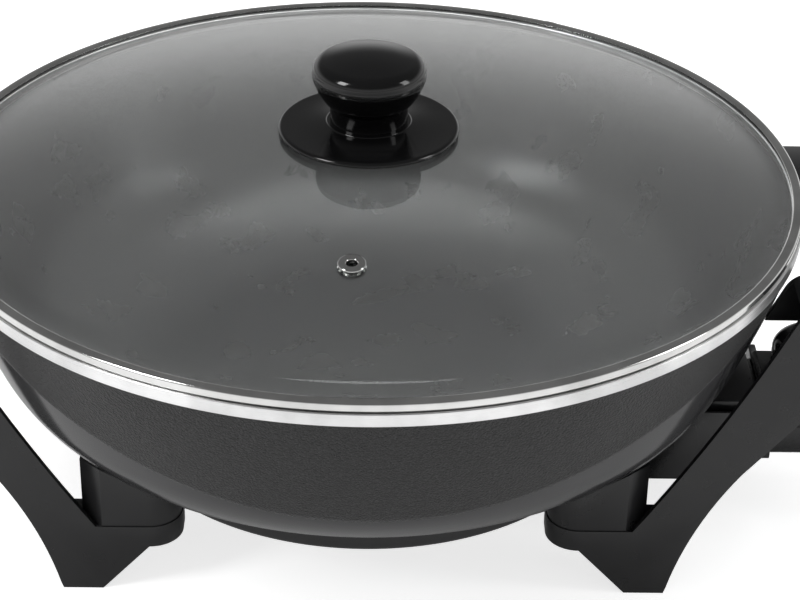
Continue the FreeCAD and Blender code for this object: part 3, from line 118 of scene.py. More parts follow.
class Nodes:
    """A node tree, and short calls that add nodes to it and wire them.

    Args:
        tree: The node tree.
    """

    def __init__(self, tree: bpy.types.NodeTree) -> None:
        self.tree = tree

    def put(self, kind: str, inputs: dict[str, object] | None = None, **settings: object) -> bpy.types.Node:
        """Add a node.

        Args:
            kind: The node's type.
            inputs: A value or an output for each input, by the input's name or number.
            settings: Properties of the node.

        Returns:
            The node.
        """
        node = self.tree.nodes.new(kind)
        for name, value in settings.items():
            setattr(node, name, value)
        for name, value in (inputs or {}).items():
            socket = node.inputs[name]
            if isinstance(value, bpy.types.NodeSocket):
                self.tree.links.new(value, socket)
            else:
                socket.default_value = value
        return node

    def span(self, value: bpy.types.NodeSocket, low: float, high: float,
             start: float = 0.0, end: float = 1.0, course: str = "LINEAR") -> bpy.types.NodeSocket:
        """Stretch a value from start..end to low..high, and hold it there outside."""
        inputs = {"Value": value, "From Min": start, "From Max": end, "To Min": low, "To Max": high}
        return self.put("ShaderNodeMapRange", inputs, interpolation_type=course).outputs["Result"]

    def combine(self, first: object, second: object, operation: str = "ADD") -> bpy.types.NodeSocket:
        """The result of a Math node on two values."""
        return self.put("ShaderNodeMath", {0: first, 1: second}, operation=operation).outputs[0]


class Shader(Nodes):
    """A material with a Principled shader, and the patterns that its finish is made of.

    Args:
        name: The material's name.
    """

    def __init__(self, name: str) -> None:
        self.material = bpy.data.materials.new(name)
        self.material.use_nodes = True
        super().__init__(self.material.node_tree)
        self.surface = self.tree.nodes["Principled BSDF"]
        self.where = self.tree.nodes.new("ShaderNodeTexCoord").outputs["Object"]

    def set(self, **values: object) -> None:
        """Set or wire the shader's inputs, with underscores for the spaces in their names."""
        for name, value in values.items():
            socket = self.surface.inputs[name.replace("_", " ")]
            if isinstance(value, bpy.types.NodeSocket):
                self.tree.links.new(value, socket)
            elif isinstance(value, tuple) and len(value) == 3 and socket.type == "RGBA":
                socket.default_value = (*value, 1.0)
            else:
                socket.default_value = value

    def noise(self, size: float, detail: float = 2.0, where: bpy.types.NodeSocket | None = None,
              stretch: float = 0.0) -> bpy.types.NodeSocket:
        """A noise pattern whose lumps are about as large as size, in metres."""
        inputs = {"Vector": where or self.where, "Scale": 1 / size, "Detail": detail, "Distortion": stretch}
        return self.put("ShaderNodeTexNoise", inputs).outputs["Fac"]

    def cells(self, size: float, smooth: float = 0.3) -> bpy.types.NodeSocket:
        """A pattern of rounded cells about as large as size, in metres."""
        node = self.put("ShaderNodeTexVoronoi", {"Vector": self.where, "Scale": 1 / size},
                        feature="SMOOTH_F1")
        node.inputs["Smoothness"].default_value = smooth
        return node.outputs["Distance"]

    def blend(self, share: bpy.types.NodeSocket, first: Colour, second: Colour) -> bpy.types.NodeSocket:
        """A colour between two, by a share from 0 to 1."""
        node = self.put("ShaderNodeMix", data_type="RGBA")
        self.tree.links.new(share, node.inputs["Factor"])
        colours = [socket for socket in node.inputs if socket.type == "RGBA"]
        colours[0].default_value, colours[1].default_value = (*first, 1.0), (*second, 1.0)
        return next(socket for socket in node.outputs if socket.type == "RGBA")

    def emboss(self, height: bpy.types.NodeSocket, depth: float, strength: object = 1.0) -> None:
        """Raise the surface by a height pattern, by depth in metres, over what is already embossed."""
        inputs = {"Height": height, "Distance": depth, "Strength": strength}
        below = self.surface.inputs["Normal"].links
        if below:
            inputs["Normal"] = below[0].from_socket
        self.set(Normal=self.put("ShaderNodeBump", inputs).outputs["Normal"])


@dataclass(frozen=True)
class Finish:
    """A plain finish with small changes of colour and gloss over the surface.

    Args:
        name: The material's name.
        colour: Its colour, as linear red, green and blue.
        roughness: Its mean roughness.
        metallic: 1 for bare metal, 0 for the rest.
        grain: Size of its fine texture, in metres, or 0 for none.
        depth: Depth of that texture, in metres.
        spread: How much the roughness changes over the surface.
        coat: Weight of a clear gloss over it.
    """

    name: str
    colour: Colour
    roughness: float
    metallic: float = 0.0
    grain: float = 0.0
    depth: float = 0.0
    spread: float = 0.05
    coat: float = 0.0

    def build(self) -> bpy.types.Material:
        """Make the material."""
        shader = Shader(self.name)
        patch = shader.noise(24 * MM, 4.0)
        darker = tuple(part * 0.86 for part in self.colour)
        lighter = tuple(min(part * 1.12, 1.0) for part in self.colour)
        rough = shader.span(patch, self.roughness - self.spread, self.roughness + self.spread, 0.3, 0.7)
        shader.set(Base_Color=shader.blend(shader.span(patch, 0.0, 1.0, 0.35, 0.65), darker, lighter),
                   Roughness=rough, Metallic=self.metallic)
        if self.coat:
            shader.set(Coat_Weight=self.coat, Coat_Roughness=0.08)
        if self.grain:
            shader.emboss(shader.noise(self.grain, 3.0), self.depth)
        self.detail(shader)
        return shader.material

    def detail(self, shader: Shader) -> None:
        """Add what a special finish shows; a plain one has nothing more."""


@dataclass(frozen=True)
class GrainedCoat(Finish):
    """The bowl's outside: a grained charcoal coat above, with painted light and shade on its grain, a smooth
    glossy one round the base.

    Args:
        limit: Height where the grain ends at the front, in metres.
        climb: How much that height grows with the square of the distance along X.
        cell: Size of the grain's cells, in metres.
        blur: Half the width of the grain's fading edge, in metres.
        relief: Depth of the grain, in metres.
        smooth: Roughness of the coat below the limit.
    """

    limit: float = 98.0 * MM
    climb: float = 1.78
    cell: float = 1.0 * MM
    blur: float = 1.2 * MM
    relief: float = 0.6 * MM
    smooth: float = 0.13

    def detail(self, shader: Shader) -> None:
        """Emboss the grain above the limit and paint light and shade on its cells, and make the coat glossier
        below it.
        """
        parts = shader.put("ShaderNodeSeparateXYZ", {"Vector": shader.where}).outputs
        rise = shader.combine(shader.combine(parts["X"], 2.0, "POWER"), self.climb, "MULTIPLY")
        level = shader.combine(parts["Z"], rise, "SUBTRACT")
        above = shader.span(level, 0.0, 1.0, self.limit - self.blur, self.limit + self.blur)
        cells = shader.cells(self.cell, 0.5)
        grain = shader.combine(cells, shader.noise(self.cell * 0.6, 1.0))
        shader.emboss(grain, self.relief, above)
        # Painted light and shade: each grain cell is coloured lighter in its middle (light) and darker towards
        # its edges (dark), standing in for a grazing lamp on the relief.
        painted_grain_shade = shader.combine(shader.span(cells, 0.0, 1.0, 0.1, 0.5), above, "MULTIPLY")
        dark = tuple(part * 0.4 for part in self.colour)
        light = tuple(part * 2.1 for part in self.colour)
        shader.set(Base_Color=shader.blend(painted_grain_shade, light, dark),
                   Roughness=shader.span(above, self.smooth, self.roughness), Specular_IOR_Level=0.45)


@dataclass(frozen=True)
class SpeckledCoat(Finish):
    """The bowl's inside: a dark non-stick coat with a faint fine speckle."""

    def detail(self, shader: Shader) -> None:
        """Add the speckle to the colour and a soft orange peel."""
        speck = shader.span(shader.noise(0.7 * MM, 1.0), 0.0, 1.0, 0.58, 0.72)
        light = tuple(part * 2.0 for part in self.colour)
        shader.set(Base_Color=shader.blend(speck, self.colour, light))
        shader.emboss(shader.noise(2.2 * MM, 2.0), 0.05 * MM, 0.6)


@dataclass(frozen=True)
class LatheMetal(Finish):
    """Bare metal turned on a lathe, with fine rings round the upright axis.

    Args:
        pitch: Width of a ring, in metres.
    """

    pitch: float = 0.35 * MM

    def detail(self, shader: Shader) -> None:
        """Emboss the rings, worked out from the distance to the axis and the height."""
        parts = shader.put("ShaderNodeSeparateXYZ", {"Vector": shader.where})
        flat = shader.put("ShaderNodeCombineXYZ", {"X": parts.outputs["X"], "Y": parts.outputs["Y"]})
        reach = shader.put("ShaderNodeVectorMath", {0: flat.outputs[0]}, operation="LENGTH").outputs["Value"]
        place = shader.put("ShaderNodeCombineXYZ", {"X": reach, "Y": parts.outputs["Z"]}).outputs[0]
        rings = shader.noise(self.pitch, 3.0, place)
        shader.emboss(rings, 0.02 * MM, 0.5)
        shader.set(Roughness=shader.span(rings, self.roughness - self.spread,
                                         self.roughness + self.spread, 0.3, 0.7))


@dataclass(frozen=True)
class DrawnMetal(Finish):
    """Plain metal drawn along X, with long fine lines."""

    def detail(self, shader: Shader) -> None:
        """Emboss the lines."""
        long = shader.put("ShaderNodeMapping", {"Vector": shader.where, "Scale": (0.03, 1.0, 1.0)})
        lines = shader.noise(0.3 * MM, 2.0, long.outputs[0])
        shader.emboss(lines, 0.02 * MM, 0.5)


@dataclass(frozen=True)
class ClearGlass(Finish):
    """Clear toughened glass with a faint green body."""

    def build(self) -> bpy.types.Material:
        """Make the material."""
        shader = Shader(self.name)
        film = shader.noise(60 * MM, 3.0)
        shader.set(Base_Color=self.colour, Roughness=shader.span(film, 0.015, self.roughness, 0.4, 0.9),
                   IOR=1.5, Transmission_Weight=1.0)
        return shader.material


@dataclass(frozen=True)
class LitLens(Finish):
    """A small clear coloured lens."""

    def detail(self, shader: Shader) -> None:
        """Let light through the lens."""
        shader.set(Transmission_Weight=0.6, IOR=1.49)


@dataclass(frozen=True)
class MouldedPlastic(Finish):
    """A black moulding with spark-eroded texture, and faint places that handling has polished."""

    def detail(self, shader: Shader) -> None:
        """Add a second, coarser texture and faint rubbed places."""
        rubbed = shader.span(shader.noise(9 * MM, 5.0), 0.0, 0.09, 0.55, 0.75)
        base = shader.surface.inputs["Roughness"].links[0].from_socket
        shader.set(Roughness=shader.combine(base, rubbed, "SUBTRACT"))
        shader.emboss(shader.noise(1.6 * MM, 2.0), 0.01 * MM, 0.5)


class Finishes:
    """Every finish of the wok, each made once."""

    def __init__(self) -> None:
        self.outer_coat = GrainedCoat("outer_coat", (0.0125, 0.0125, 0.0132), 0.32).build()
        self.inner_coat = SpeckledCoat("inner_coat", (0.014, 0.014, 0.0147), 0.3).build()
        self.bare_rim = LatheMetal("bare_rim", (0.86, 0.86, 0.86), 0.3, 1.0).build()
        self.polished_steel = LatheMetal("polished_steel", (0.78, 0.78, 0.77), 0.1, 1.0, spread=0.03).build()
        self.glass = ClearGlass("lid_glass_clear", (0.97, 0.985, 0.98), 0.03).build()
        self.gloss_black = MouldedPlastic("gloss_black", (0.003, 0.003, 0.0032), 0.12, spread=0.02,
                                          coat=0.1).build()
        self.satin_black = MouldedPlastic("satin_black", (0.0145, 0.0145, 0.0153), 0.32, grain=0.35 * MM,
                                          depth=0.012 * MM).build()
        self.case_black = MouldedPlastic("case_black", (0.008, 0.008, 0.0086), 0.27, grain=0.3 * MM,
                                         depth=0.01 * MM).build()
        self.cover_paint = Finish("cover_paint", (0.012, 0.012, 0.0128), 0.36, grain=0.8 * MM,
                                  depth=0.03 * MM).build()
        self.sheath = Finish("element_sheath", (0.16, 0.15, 0.145), 0.5, 0.8, grain=0.4 * MM,
                             depth=0.02 * MM).build()
        self.nickel = DrawnMetal("nickel", (0.68, 0.65, 0.6), 0.22, 1.0).build()
        self.plain_steel = DrawnMetal("plain_steel", (0.6, 0.6, 0.61), 0.28, 1.0).build()
        self.zinc = Finish("zinc_plate", (0.62, 0.63, 0.64), 0.33, 1.0, grain=0.5 * MM,
                           depth=0.01 * MM).build()
        self.brass = DrawnMetal("contact_brass", (0.75, 0.56, 0.27), 0.27, 1.0).build()
        self.ceramic = Finish("ceramic", (0.8, 0.78, 0.71), 0.3, grain=0.6 * MM, depth=0.015 * MM,
                              coat=0.3).build()
        self.rubber = Finish("black_rubber", (0.018, 0.018, 0.018), 0.7, grain=0.5 * MM,
                             depth=0.02 * MM).build()
        self.amber = LitLens("amber_lens", (0.8, 0.3, 0.05), 0.12).build()
        self.print_white = Finish("printed_white", (0.72, 0.72, 0.7), 0.5).build()


def finish_mesh(shape: bmesh.types.BMesh, name: str, materials: Sequence[bpy.types.Material],
                body: Body, sharp: float = 38.0) -> bpy.types.Object:
    """Turn a bmesh into a smooth-shaded object that rides on a body.

    Args:
        shape: The bmesh, which is freed.
        name: The piece's name.
        materials: The finishes, in the order of the faces' material numbers.
        body: The body it rides on.
        sharp: Edges that bend by more degrees than this stay crisp.

    Returns:
        The new object.
    """
    for face in shape.faces:
        face.smooth = True
    for edge in shape.edges:
        edge.smooth = not (len(edge.link_faces) == 2 and edge.calc_face_angle(0.0) > math.radians(sharp))
    mesh = bpy.data.meshes.new(name)
    shape.to_mesh(mesh)
    shape.free()
    piece = bpy.data.objects.new(name, mesh)
    for material in materials:
        mesh.materials.append(material)
    bpy.context.scene.collection.objects.link(piece)
    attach(piece, body.value)
    log.info("%s: %d faces on %s", name, len(mesh.polygons), body.value)
    return piece


def turned(outline: Outline, segments: int, closed: bool = True) -> bmesh.types.BMesh:
    """Spin an outline about the upright axis.

    Args:
        outline: The outline; where it starts and ends on the axis it isn't closed.
        segments: Number of steps round the axis.
        closed: True to join the outline's last point to its first.

    Returns:
        The bmesh of the turned shape, with its faces pointing outwards.
    """
    shape = bmesh.new()
    corners = [shape.verts.new((point.x, 0.0, point.y)) for point in outline.points]
    for first, second in zip(corners, corners[1:]):
        shape.edges.new((first, second))
    if closed:
        shape.edges.new((corners[-1], corners[0]))
    bmesh.ops.spin(shape, geom=shape.verts[:] + shape.edges[:], cent=(0, 0, 0), axis=(0, 0, 1),
                   angle=math.tau, steps=segments, use_merge=True)
    bmesh.ops.remove_doubles(shape, verts=shape.verts, dist=MERGE)
    bmesh.ops.recalc_face_normals(shape, faces=shape.faces)
    return shape


def softened_edges(shape: bmesh.types.BMesh, width: float, limit: float, segments: int = 3) -> None:
    """Round the sharp edges of a shape.

    Args:
        shape: The bmesh, changed in place.
        width: Width of the rounding, in metres.
        limit: Least bend of an edge that is rounded, in degrees.
        segments: Number of faces across the rounding.
    """
    edges = [edge for edge in shape.edges
             if len(edge.link_faces) == 2 and edge.calc_face_angle(0.0) > math.radians(limit)]
    bmesh.ops.bevel(shape, geom=edges, offset=width, offset_type="OFFSET", segments=segments,
                    profile=0.5, affect="EDGES", clamp_overlap=True, material=-1)


def cad_copy(node: str, tolerance: float = 0.5) -> bmesh.types.BMesh:
    """A merged copy of a CAD node, with its flat faces made whole.

    Args:
        node: The node's name.
        tolerance: Faces that bend by less degrees than this become one.

    Returns:
        The bmesh of the copy.
    """
    shape = bmesh.new()
    shape.from_mesh(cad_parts[node].data)
    bmesh.ops.remove_doubles(shape, verts=shape.verts, dist=COPY_MERGE)
    bmesh.ops.dissolve_limit(shape, angle_limit=math.radians(tolerance), use_dissolve_boundaries=False,
                             verts=shape.verts[:], edges=shape.edges[:])
    return shape


def dress(nodes: Iterable[str], material: bpy.types.Material) -> None:
    """Give CAD nodes, whose shapes stay, a finish."""
    for node in nodes:
        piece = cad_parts[node]
        piece.data.materials.clear()
        piece.data.materials.append(material)


@dataclass
class Bowl:
    """The cast bowl with its lugs, in millimetres.

    Args:
        finishes: Every finish of the wok.
        rim_radius: Outside radius of the bare rim.
        rim_top: Height of its upper face.
        rim_depth: Height of the rim's band.
        rim_edges: Roundings of the band's foot, its top and its inner edge.
        mouth: Inside radius of the rim.
        wall: Thickness of the casting.
        shoulder: Radius and height where the wall meets the rim.
        leans: Leans of the wall where its three arcs start, in degrees.
        curves: Radii of those arcs.
        lug: Distances of a frame lug along X and Y, and its radius.
        lug_foot: Height of its lower end.
        lug_draft: How many times wider a lug is at its top.
        socket_lug: The same for a lug that holds the socket, and its foot's height.
        segments: Number of steps round the bowl.
    """

    finishes: Finishes
    rim_radius: float = 182.0
    rim_top: float = 159.7
    rim_depth: float = 5.3
    rim_edges: tuple[float, float, float] = (0.35, 0.4, 0.6)
    mouth: float = 176.5
    wall: float = 4.0
    shoulder: tuple[float, float] = (181.0, 154.0)
    leans: tuple[float, float, float] = (16.39, 22.92, 60.0)
    curves: tuple[float, float, float] = (484.24, 57.77, 110.0)
    lug: tuple[float, float, float] = (102.0, 65.0, 9.0)
    lug_foot: float = 40.0
    lug_draft: float = 1.04
    socket_lug: tuple[float, float, float, float] = (133.0, 25.5, 4.5, 64.0)
    segments: int = 288

    def centres(self) -> list[Vector]:
        """Centres of the wall's, the bend's and the base's arcs, in millimetres."""
        places = []
        for number, (lean, curve) in enumerate(zip(self.leans, self.curves)):
            towards = Vector((math.cos(math.radians(lean)), -math.sin(math.radians(lean))))
            on_curve = Vector(self.shoulder) if number == 0 else places[-1] + towards * self.curves[number - 1]
            places.append(on_curve - towards * curve)
        return places

    def corner(self, curve: int, lean: int, depth: float) -> tuple[float, float]:
        """The point of an arc where the wall has a lean, at a depth inside the outside face."""
        angle = math.radians(self.leans[lean])
        reach = self.curves[curve] - depth
        centre = self.centres()[curve]
        return centre.x + reach * math.cos(angle), centre.y - reach * math.sin(angle)

    def outline(self) -> Outline:
        """The whole section: up the outside, over the rim, and down the inside."""
        wall, bend, base = self.curves
        foot = self.centres()[2]
        low, high, inner = self.rim_edges
        section = Outline(step=BEND_STEP)
        section.line(0.0, foot.y - base).line(foot.x, foot.y - base)
        section.arc(*self.corner(1, 2, 0.0), base, Turn.LEFT)
        section.arc(*self.corner(0, 1, 0.0), bend, Turn.LEFT)
        section.step = CURVE_STEP
        section.arc(*self.corner(0, 0, 0.0), wall, Turn.LEFT)
        lip = self.rim_top - self.rim_depth
        section.step = EDGE_STEP
        section.line(self.rim_radius - low, lip).arc(self.rim_radius, lip + low, low, Turn.LEFT)
        section.line(self.rim_radius, self.rim_top - high)
        section.arc(self.rim_radius - high, self.rim_top, high, Turn.LEFT)
        section.line(self.mouth + inner, self.rim_top)
        inner_lip = self.corner(0, 0, self.wall)
        section.arc(self.mouth, self.rim_top - inner, inner, Turn.LEFT)
        section.step = CURVE_STEP
        section.line(*inner_lip).arc(*self.corner(0, 1, self.wall), wall - self.wall, Turn.RIGHT)
        section.step = BEND_STEP
        section.arc(*self.corner(1, 2, self.wall), bend - self.wall, Turn.RIGHT)
        section.arc(foot.x, foot.y - base + self.wall, base - self.wall, Turn.RIGHT)
        section.line(0.0, foot.y - base + self.wall)
        return section

    def underside(self, radius: float) -> float:
        """Height of the bowl's outside face at a radius, both in millimetres."""
        for curve, limit in ((2, self.corner(1, 2, 0.0)[0]), (1, self.corner(0, 1, 0.0)[0])):
            centre = self.centres()[curve]
            if radius <= limit:
                side = max(radius - centre.x, 0.0)
                return centre.y - math.sqrt(self.curves[curve] ** 2 - side ** 2)
        return self.shoulder[1]

    def paint(self, shape: bmesh.types.BMesh) -> None:
        """Number each face's finish: outside coat, bare rim or inside coat."""
        lip = (self.rim_top - self.rim_depth - 0.2) * MM
        for face in shape.faces:
            middle = face.calc_center_median()
            outwards = face.normal.x * middle.x + face.normal.y * middle.y
            inwards = middle.z > self.corner(2, 2, 0.0)[1] * MM and outwards < 0
            if middle.z > lip and middle.xy.length > (self.mouth - 0.3) * MM:
                face.material_index = 1
            elif inwards or face.normal.z > 0.3:
                face.material_index = 2
            else:
                face.material_index = 0

    def add_lug(self, shape: bmesh.types.BMesh, x: float, y: float, radius: float, foot: float) -> None:
        """Add a round lug that runs from its foot into the bowl's wall, in millimetres."""
        made = bmesh.ops.create_cone(shape, cap_ends=True, segments=40, radius1=radius * MM,
                                     radius2=radius * self.lug_draft * MM, depth=1.0,
                                     matrix=Matrix.Translation((x * MM, y * MM, 0.5)))
        for vertex in made["verts"]:
            top = self.underside(vertex.co.xy.length / MM) + self.wall / 2
            vertex.co.z = (top if vertex.co.z > 0.5 else foot) * MM

    def build(self) -> bpy.types.Object:
        """Make the bowl with its lugs, in place of its CAD node."""
        shape = turned(self.outline(), self.segments, closed=False)
        self.paint(shape)
        x, y, radius = self.lug
        for side_x in (1, -1):
            for side_y in (1, -1):
                self.add_lug(shape, x * side_x, y * side_y, radius, self.lug_foot)
        x, y, radius, foot = self.socket_lug
        for side_y in (1, -1):
            self.add_lug(shape, x, y * side_y, radius, foot)
        coats = (self.finishes.outer_coat, self.finishes.bare_rim, self.finishes.inner_coat)
        piece = finish_mesh(shape, "bowl_casting", coats, Body.BASE, sharp=30.0)
        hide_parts("wok_bowl")
        return piece


@dataclass
class BaseCover:
    """The shallow cup under the bowl, in millimetres.

    Args:
        finishes: Every finish of the wok.
        radius: Its outside radius.
        foot: Height of its floor.
        top: Height of its upper edge.
        corner: Rounding of its lower edge.
        wall: Thickness of its sheet.
        pressing: Radii between which a ring is pressed into its floor.
        pressed: Depth of that ring.
        slope: Width of the ring's sloping edges.
        window: Length, width and height of the opening for the element's ends.
        window_middle: Where the opening's middle lies.
        edge: Rounding of its upper edge.
    """

    finishes: Finishes
    radius: float = 111.0
    foot: float = 47.0
    top: float = 62.6
    corner: float = 3.0
    wall: float = 1.2
    pressing: tuple[float, float] = (60.0, 85.5)
    pressed: float = 0.4
    slope: float = 1.5
    window: tuple[float, float, float] = (12.5, 40.0, 30.0)
    window_middle: tuple[float, float, float] = (108.75, 0.0, 55.0)
    edge: float = 0.4

    def build(self) -> bpy.types.Object:
        """Make the cup, with a shallow pressed ring in its floor."""
        inner, edge = self.radius - self.wall, self.edge
        start, end = self.pressing
        raised = self.foot + self.pressed
        section = Outline(step=EDGE_STEP)
        section.line(0.0, self.foot).line(start, self.foot)
        section.arc(start + self.slope, raised, self.slope, Turn.LEFT)
        section.line(end - self.slope, raised).arc(end, self.foot, self.slope, Turn.RIGHT)
        section.line(self.radius - self.corner, self.foot)
        section.arc(self.radius, self.foot + self.corner, self.corner, Turn.LEFT)
        section.line(self.radius, self.top - edge)
        section.arc(self.radius - edge, self.top, edge, Turn.LEFT).line(inner, self.top)
        section.line(inner, self.foot + self.corner)
        section.arc(self.radius - self.corner, self.foot + self.wall, self.corner - self.wall, Turn.RIGHT)
        section.line(0.0, self.foot + self.wall)
        shape = turned(section, 144, closed=False)
        piece = finish_mesh(shape, "base_cup", (self.finishes.cover_paint,), Body.BASE)
        self.cut_window(piece)
        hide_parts("base_cover")
        return piece

    def cut_window(self, piece: bpy.types.Object) -> None:
        """Cut the opening through which the element's ends leave the cup."""
        tool = bmesh.new()
        bmesh.ops.create_cube(tool, size=1.0)
        bmesh.ops.scale(tool, vec=Vector(self.window) * MM, verts=tool.verts)
        bmesh.ops.translate(tool, vec=Vector(self.window_middle) * MM, verts=tool.verts)
        carve(piece, tool)


def carve(piece: bpy.types.Object, tool: bmesh.types.BMesh) -> None:
    """Cut a tool's shape out of a piece for good.

    Args:
        piece: The piece, whose mesh is replaced.
        tool: The shape to take away, which is freed.
    """
    mesh = bpy.data.meshes.new("tool")
    tool.to_mesh(mesh)
    tool.free()
    cutter = bpy.data.objects.new("tool", mesh)
    bpy.context.scene.collection.objects.link(cutter)
    cut = piece.modifiers.new("cut", "BOOLEAN")
    cut.object, cut.operation, cut.solver = cutter, "DIFFERENCE", "EXACT"
    graph = bpy.context.evaluated_depsgraph_get()
    result = bpy.data.meshes.new_from_object(piece.evaluated_get(graph))
    piece.modifiers.clear()
    piece.data = result
    bpy.data.objects.remove(cutter)


@dataclass
class SideFrames:
    """The two frames of legs and handles, the blocks on their arms and the socket's guard.

    Args:
        finishes: Every finish of the wok.
        edge: Rounding of the frames' and blocks' edges, in millimetres.
        socket_edge: Rounding of the guard's edges, in millimetres.
        limit: Least bend of an edge that is rounded, in degrees.
    """

    finishes: Finishes
    edge: float = 0.9
    socket_edge: float = 0.6
    limit: float = 32.0

    def soften(self, node: str, name: str, material: bpy.types.Material, body: Body,
               edge: float) -> bpy.types.Object:
        """Replace a moulded CAD node by a copy whose edges are rounded.

        Args:
            node: The CAD node.
            name: The new piece's name.
            material: Its finish.
            body: The body it rides on.
            edge: Width of the rounding, in millimetres.

        Returns:
            The new piece.
        """
        shape = cad_copy(node)
        softened_edges(shape, edge * MM, self.limit)
        piece = finish_mesh(shape, name, (material,), body)
        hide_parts(node)
        return piece

    def build(self) -> list[bpy.types.Object]:
        """Make both frames, all four blocks and the guard."""
        plastic = self.finishes.satin_black
        pieces = []
        for side in ("right", "left"):
            pieces.append(self.soften(f"side_frame_{side}", f"leg_and_grip_{side}", plastic, Body.BASE,
                                      self.edge))
            for end in ("front", "rear"):
                pieces.append(self.soften(f"block_{end}_{side}", f"spacer_{end}_{side}", plastic,
                                          Body.BASE, self.edge))
        pieces.append(self.soften("probe_socket", "socket_guard", plastic, Body.BASE, self.socket_edge))
        return pieces


@dataclass
class Lid:
    """The glass lid with its steel ring, its vent and its knob, in millimetres."""

    finishes: Finishes
    foot: float = 160.0
    ring_radius: float = 181.6
    ring_lip: float = 177.2
    ring_height: float = 4.2
    ring_wall: float = 0.6
    ring_edge: float = 1.2
    glass_radius: float = 180.0
    glass_brim: float = 172.0
    glass_wall: float = 2.9
    glass_edge: float = 0.8
    hole: float = 4.0
    dome_step: float = 0.45
    glass_edge_step: float = 20.0
    apex: float = 184.0
    vent: tuple[float, float] = (-5.6, -103.5)
    vent_hole: float = 3.5
    vent_tool: float = 20.0
    ring_steps: int = 288
    glass_steps: int = 216
    knob_steps: int = 144
    lap_proud: float = 0.12
    lap_width: float = 1.6
    lap_place: float = 60.5

    def dome(self) -> float:
        """Radius of the glass dome, in millimetres."""
        rise = self.apex - self.brim_top()
        return (self.glass_brim ** 2 + rise ** 2) / (2 * rise)

    def brim_top(self) -> float:
        """Height of the glass brim's upper face, in millimetres."""
        return self.foot + self.ring_height - self.ring_wall

    def height_at(self, reach: float) -> float:
        """Height of the glass's upper face at a radius, in millimetres."""
        return self.apex - self.dome() + math.sqrt(self.dome() ** 2 - reach ** 2)

    def on_glass(self) -> Matrix:
        """The place and tilt of the vent, square on the glass."""
        x, y = self.vent
        reach = math.hypot(x, y)
        normal = Vector((x, y, math.sqrt(self.dome() ** 2 - reach ** 2))).normalized()
        turn = Vector((0, 0, 1)).rotation_difference(normal).to_matrix().to_4x4()
        return Matrix.Translation(Vector((x, y, self.height_at(reach))) * MM) @ turn

    def build_glass(self) -> bpy.types.Object:
        """Make the pane with its hole for the knob's screw and its vent hole."""
        top, dome = self.brim_top(), self.dome()
        foot, middle = top - self.glass_wall, self.height_at(self.hole)
        radius, edge = self.glass_radius, self.glass_edge
        section = Outline(step=self.dome_step)
        section.line(self.hole, middle).arc(self.glass_brim, top, dome, Turn.RIGHT)
        section.step = self.glass_edge_step
        section.line(radius - edge, top).arc(radius, top - edge, edge, Turn.RIGHT)
        section.line(radius, foot + edge).arc(radius - edge, foot, edge, Turn.RIGHT)
        section.line(self.glass_brim, foot)
        section.step = self.dome_step
        section.arc(self.hole, middle - self.glass_wall, dome, Turn.LEFT)
        shape = turned(section, self.glass_steps)
        piece = finish_mesh(shape, "glass_pane", (self.finishes.glass,), Body.LID, sharp=50.0)
        tool = bmesh.new()
        bmesh.ops.create_cone(tool, cap_ends=True, segments=32, radius1=self.vent_hole * MM,
                              radius2=self.vent_hole * MM, depth=self.vent_tool * MM,
                              matrix=self.on_glass())
        carve(piece, tool)
        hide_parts("lid_glass")
        return piece

    def ring_section(self, proud: float = 0.0) -> Outline:
        """The folded section of the steel ring, standing proud by a length in millimetres."""
        foot, top = self.foot, self.foot + self.ring_height + proud
        outer, edge, wall, lip = self.ring_radius + proud, self.ring_edge, self.ring_wall, self.ring_lip
        section = Outline(step=EDGE_STEP)
        section.line(lip, foot).line(outer - edge, foot)
        section.arc(outer, foot + edge, edge, Turn.LEFT).line(outer, top - edge)
        section.arc(outer - edge, top, edge, Turn.LEFT)
        section.line(lip + 1.0, top).arc(lip, top - 0.5, 1.2, Turn.LEFT)
        section.line(lip + 0.05, top - wall).line(outer - edge, top - wall)
        section.line(outer - edge, foot + wall).line(lip, foot + wall)
        return section

    def build_ring(self) -> list[bpy.types.Object]:
        """Make the steel ring and the lap where its ends meet."""
        shape = turned(self.ring_section(), self.ring_steps)
        ring = finish_mesh(shape, "steel_band", (self.finishes.polished_steel,), Body.LID)
        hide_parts("lid_ring")
        lap = bmesh.new()
        section = self.ring_section(self.lap_proud)
        corners = [lap.verts.new((point.x, 0.0, point.y)) for point in section.points]
        lap.faces.new(corners)
        bmesh.ops.spin(lap, geom=lap.verts[:] + lap.edges[:] + lap.faces[:], cent=(0, 0, 0),
                       axis=(0, 0, 1), angle=math.radians(self.lap_width), steps=3)
        bmesh.ops.recalc_face_normals(lap, faces=lap.faces)
        bmesh.ops.rotate(lap, cent=(0, 0, 0), verts=lap.verts,
                         matrix=Matrix.Rotation(math.radians(self.lap_place), 3, "Z"))
        seam = finish_mesh(lap, "band_lap", (self.finishes.polished_steel,), Body.LID)
        return [ring, seam]

    def build_vent(self) -> bpy.types.Object:
        """Make the eyelet of the steam vent."""
        lip, radius, neck, bore, edge = 0.9, 5.6, 3.4, 2.15, 0.3
        seat = 0.1
        foot = -self.glass_wall - seat
        section = Outline(step=EDGE_STEP)
        section.line(bore, foot - lip).line(radius - edge, foot - lip)
        section.arc(radius, foot - lip + edge, edge, Turn.LEFT).line(radius, foot).line(neck, foot)
        section.line(neck, seat).line(radius, seat)
        section.arc(radius - lip * 0.9, lip, lip, Turn.LEFT).line(bore + lip, lip)
        section.arc(bore, 0.0, lip, Turn.LEFT)
        shape = turned(section, 64)
        shape.transform(self.on_glass())
        piece = finish_mesh(shape, "vent_eyelet", (self.finishes.polished_steel,), Body.LID)
        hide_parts("vent_grommet")
        return piece

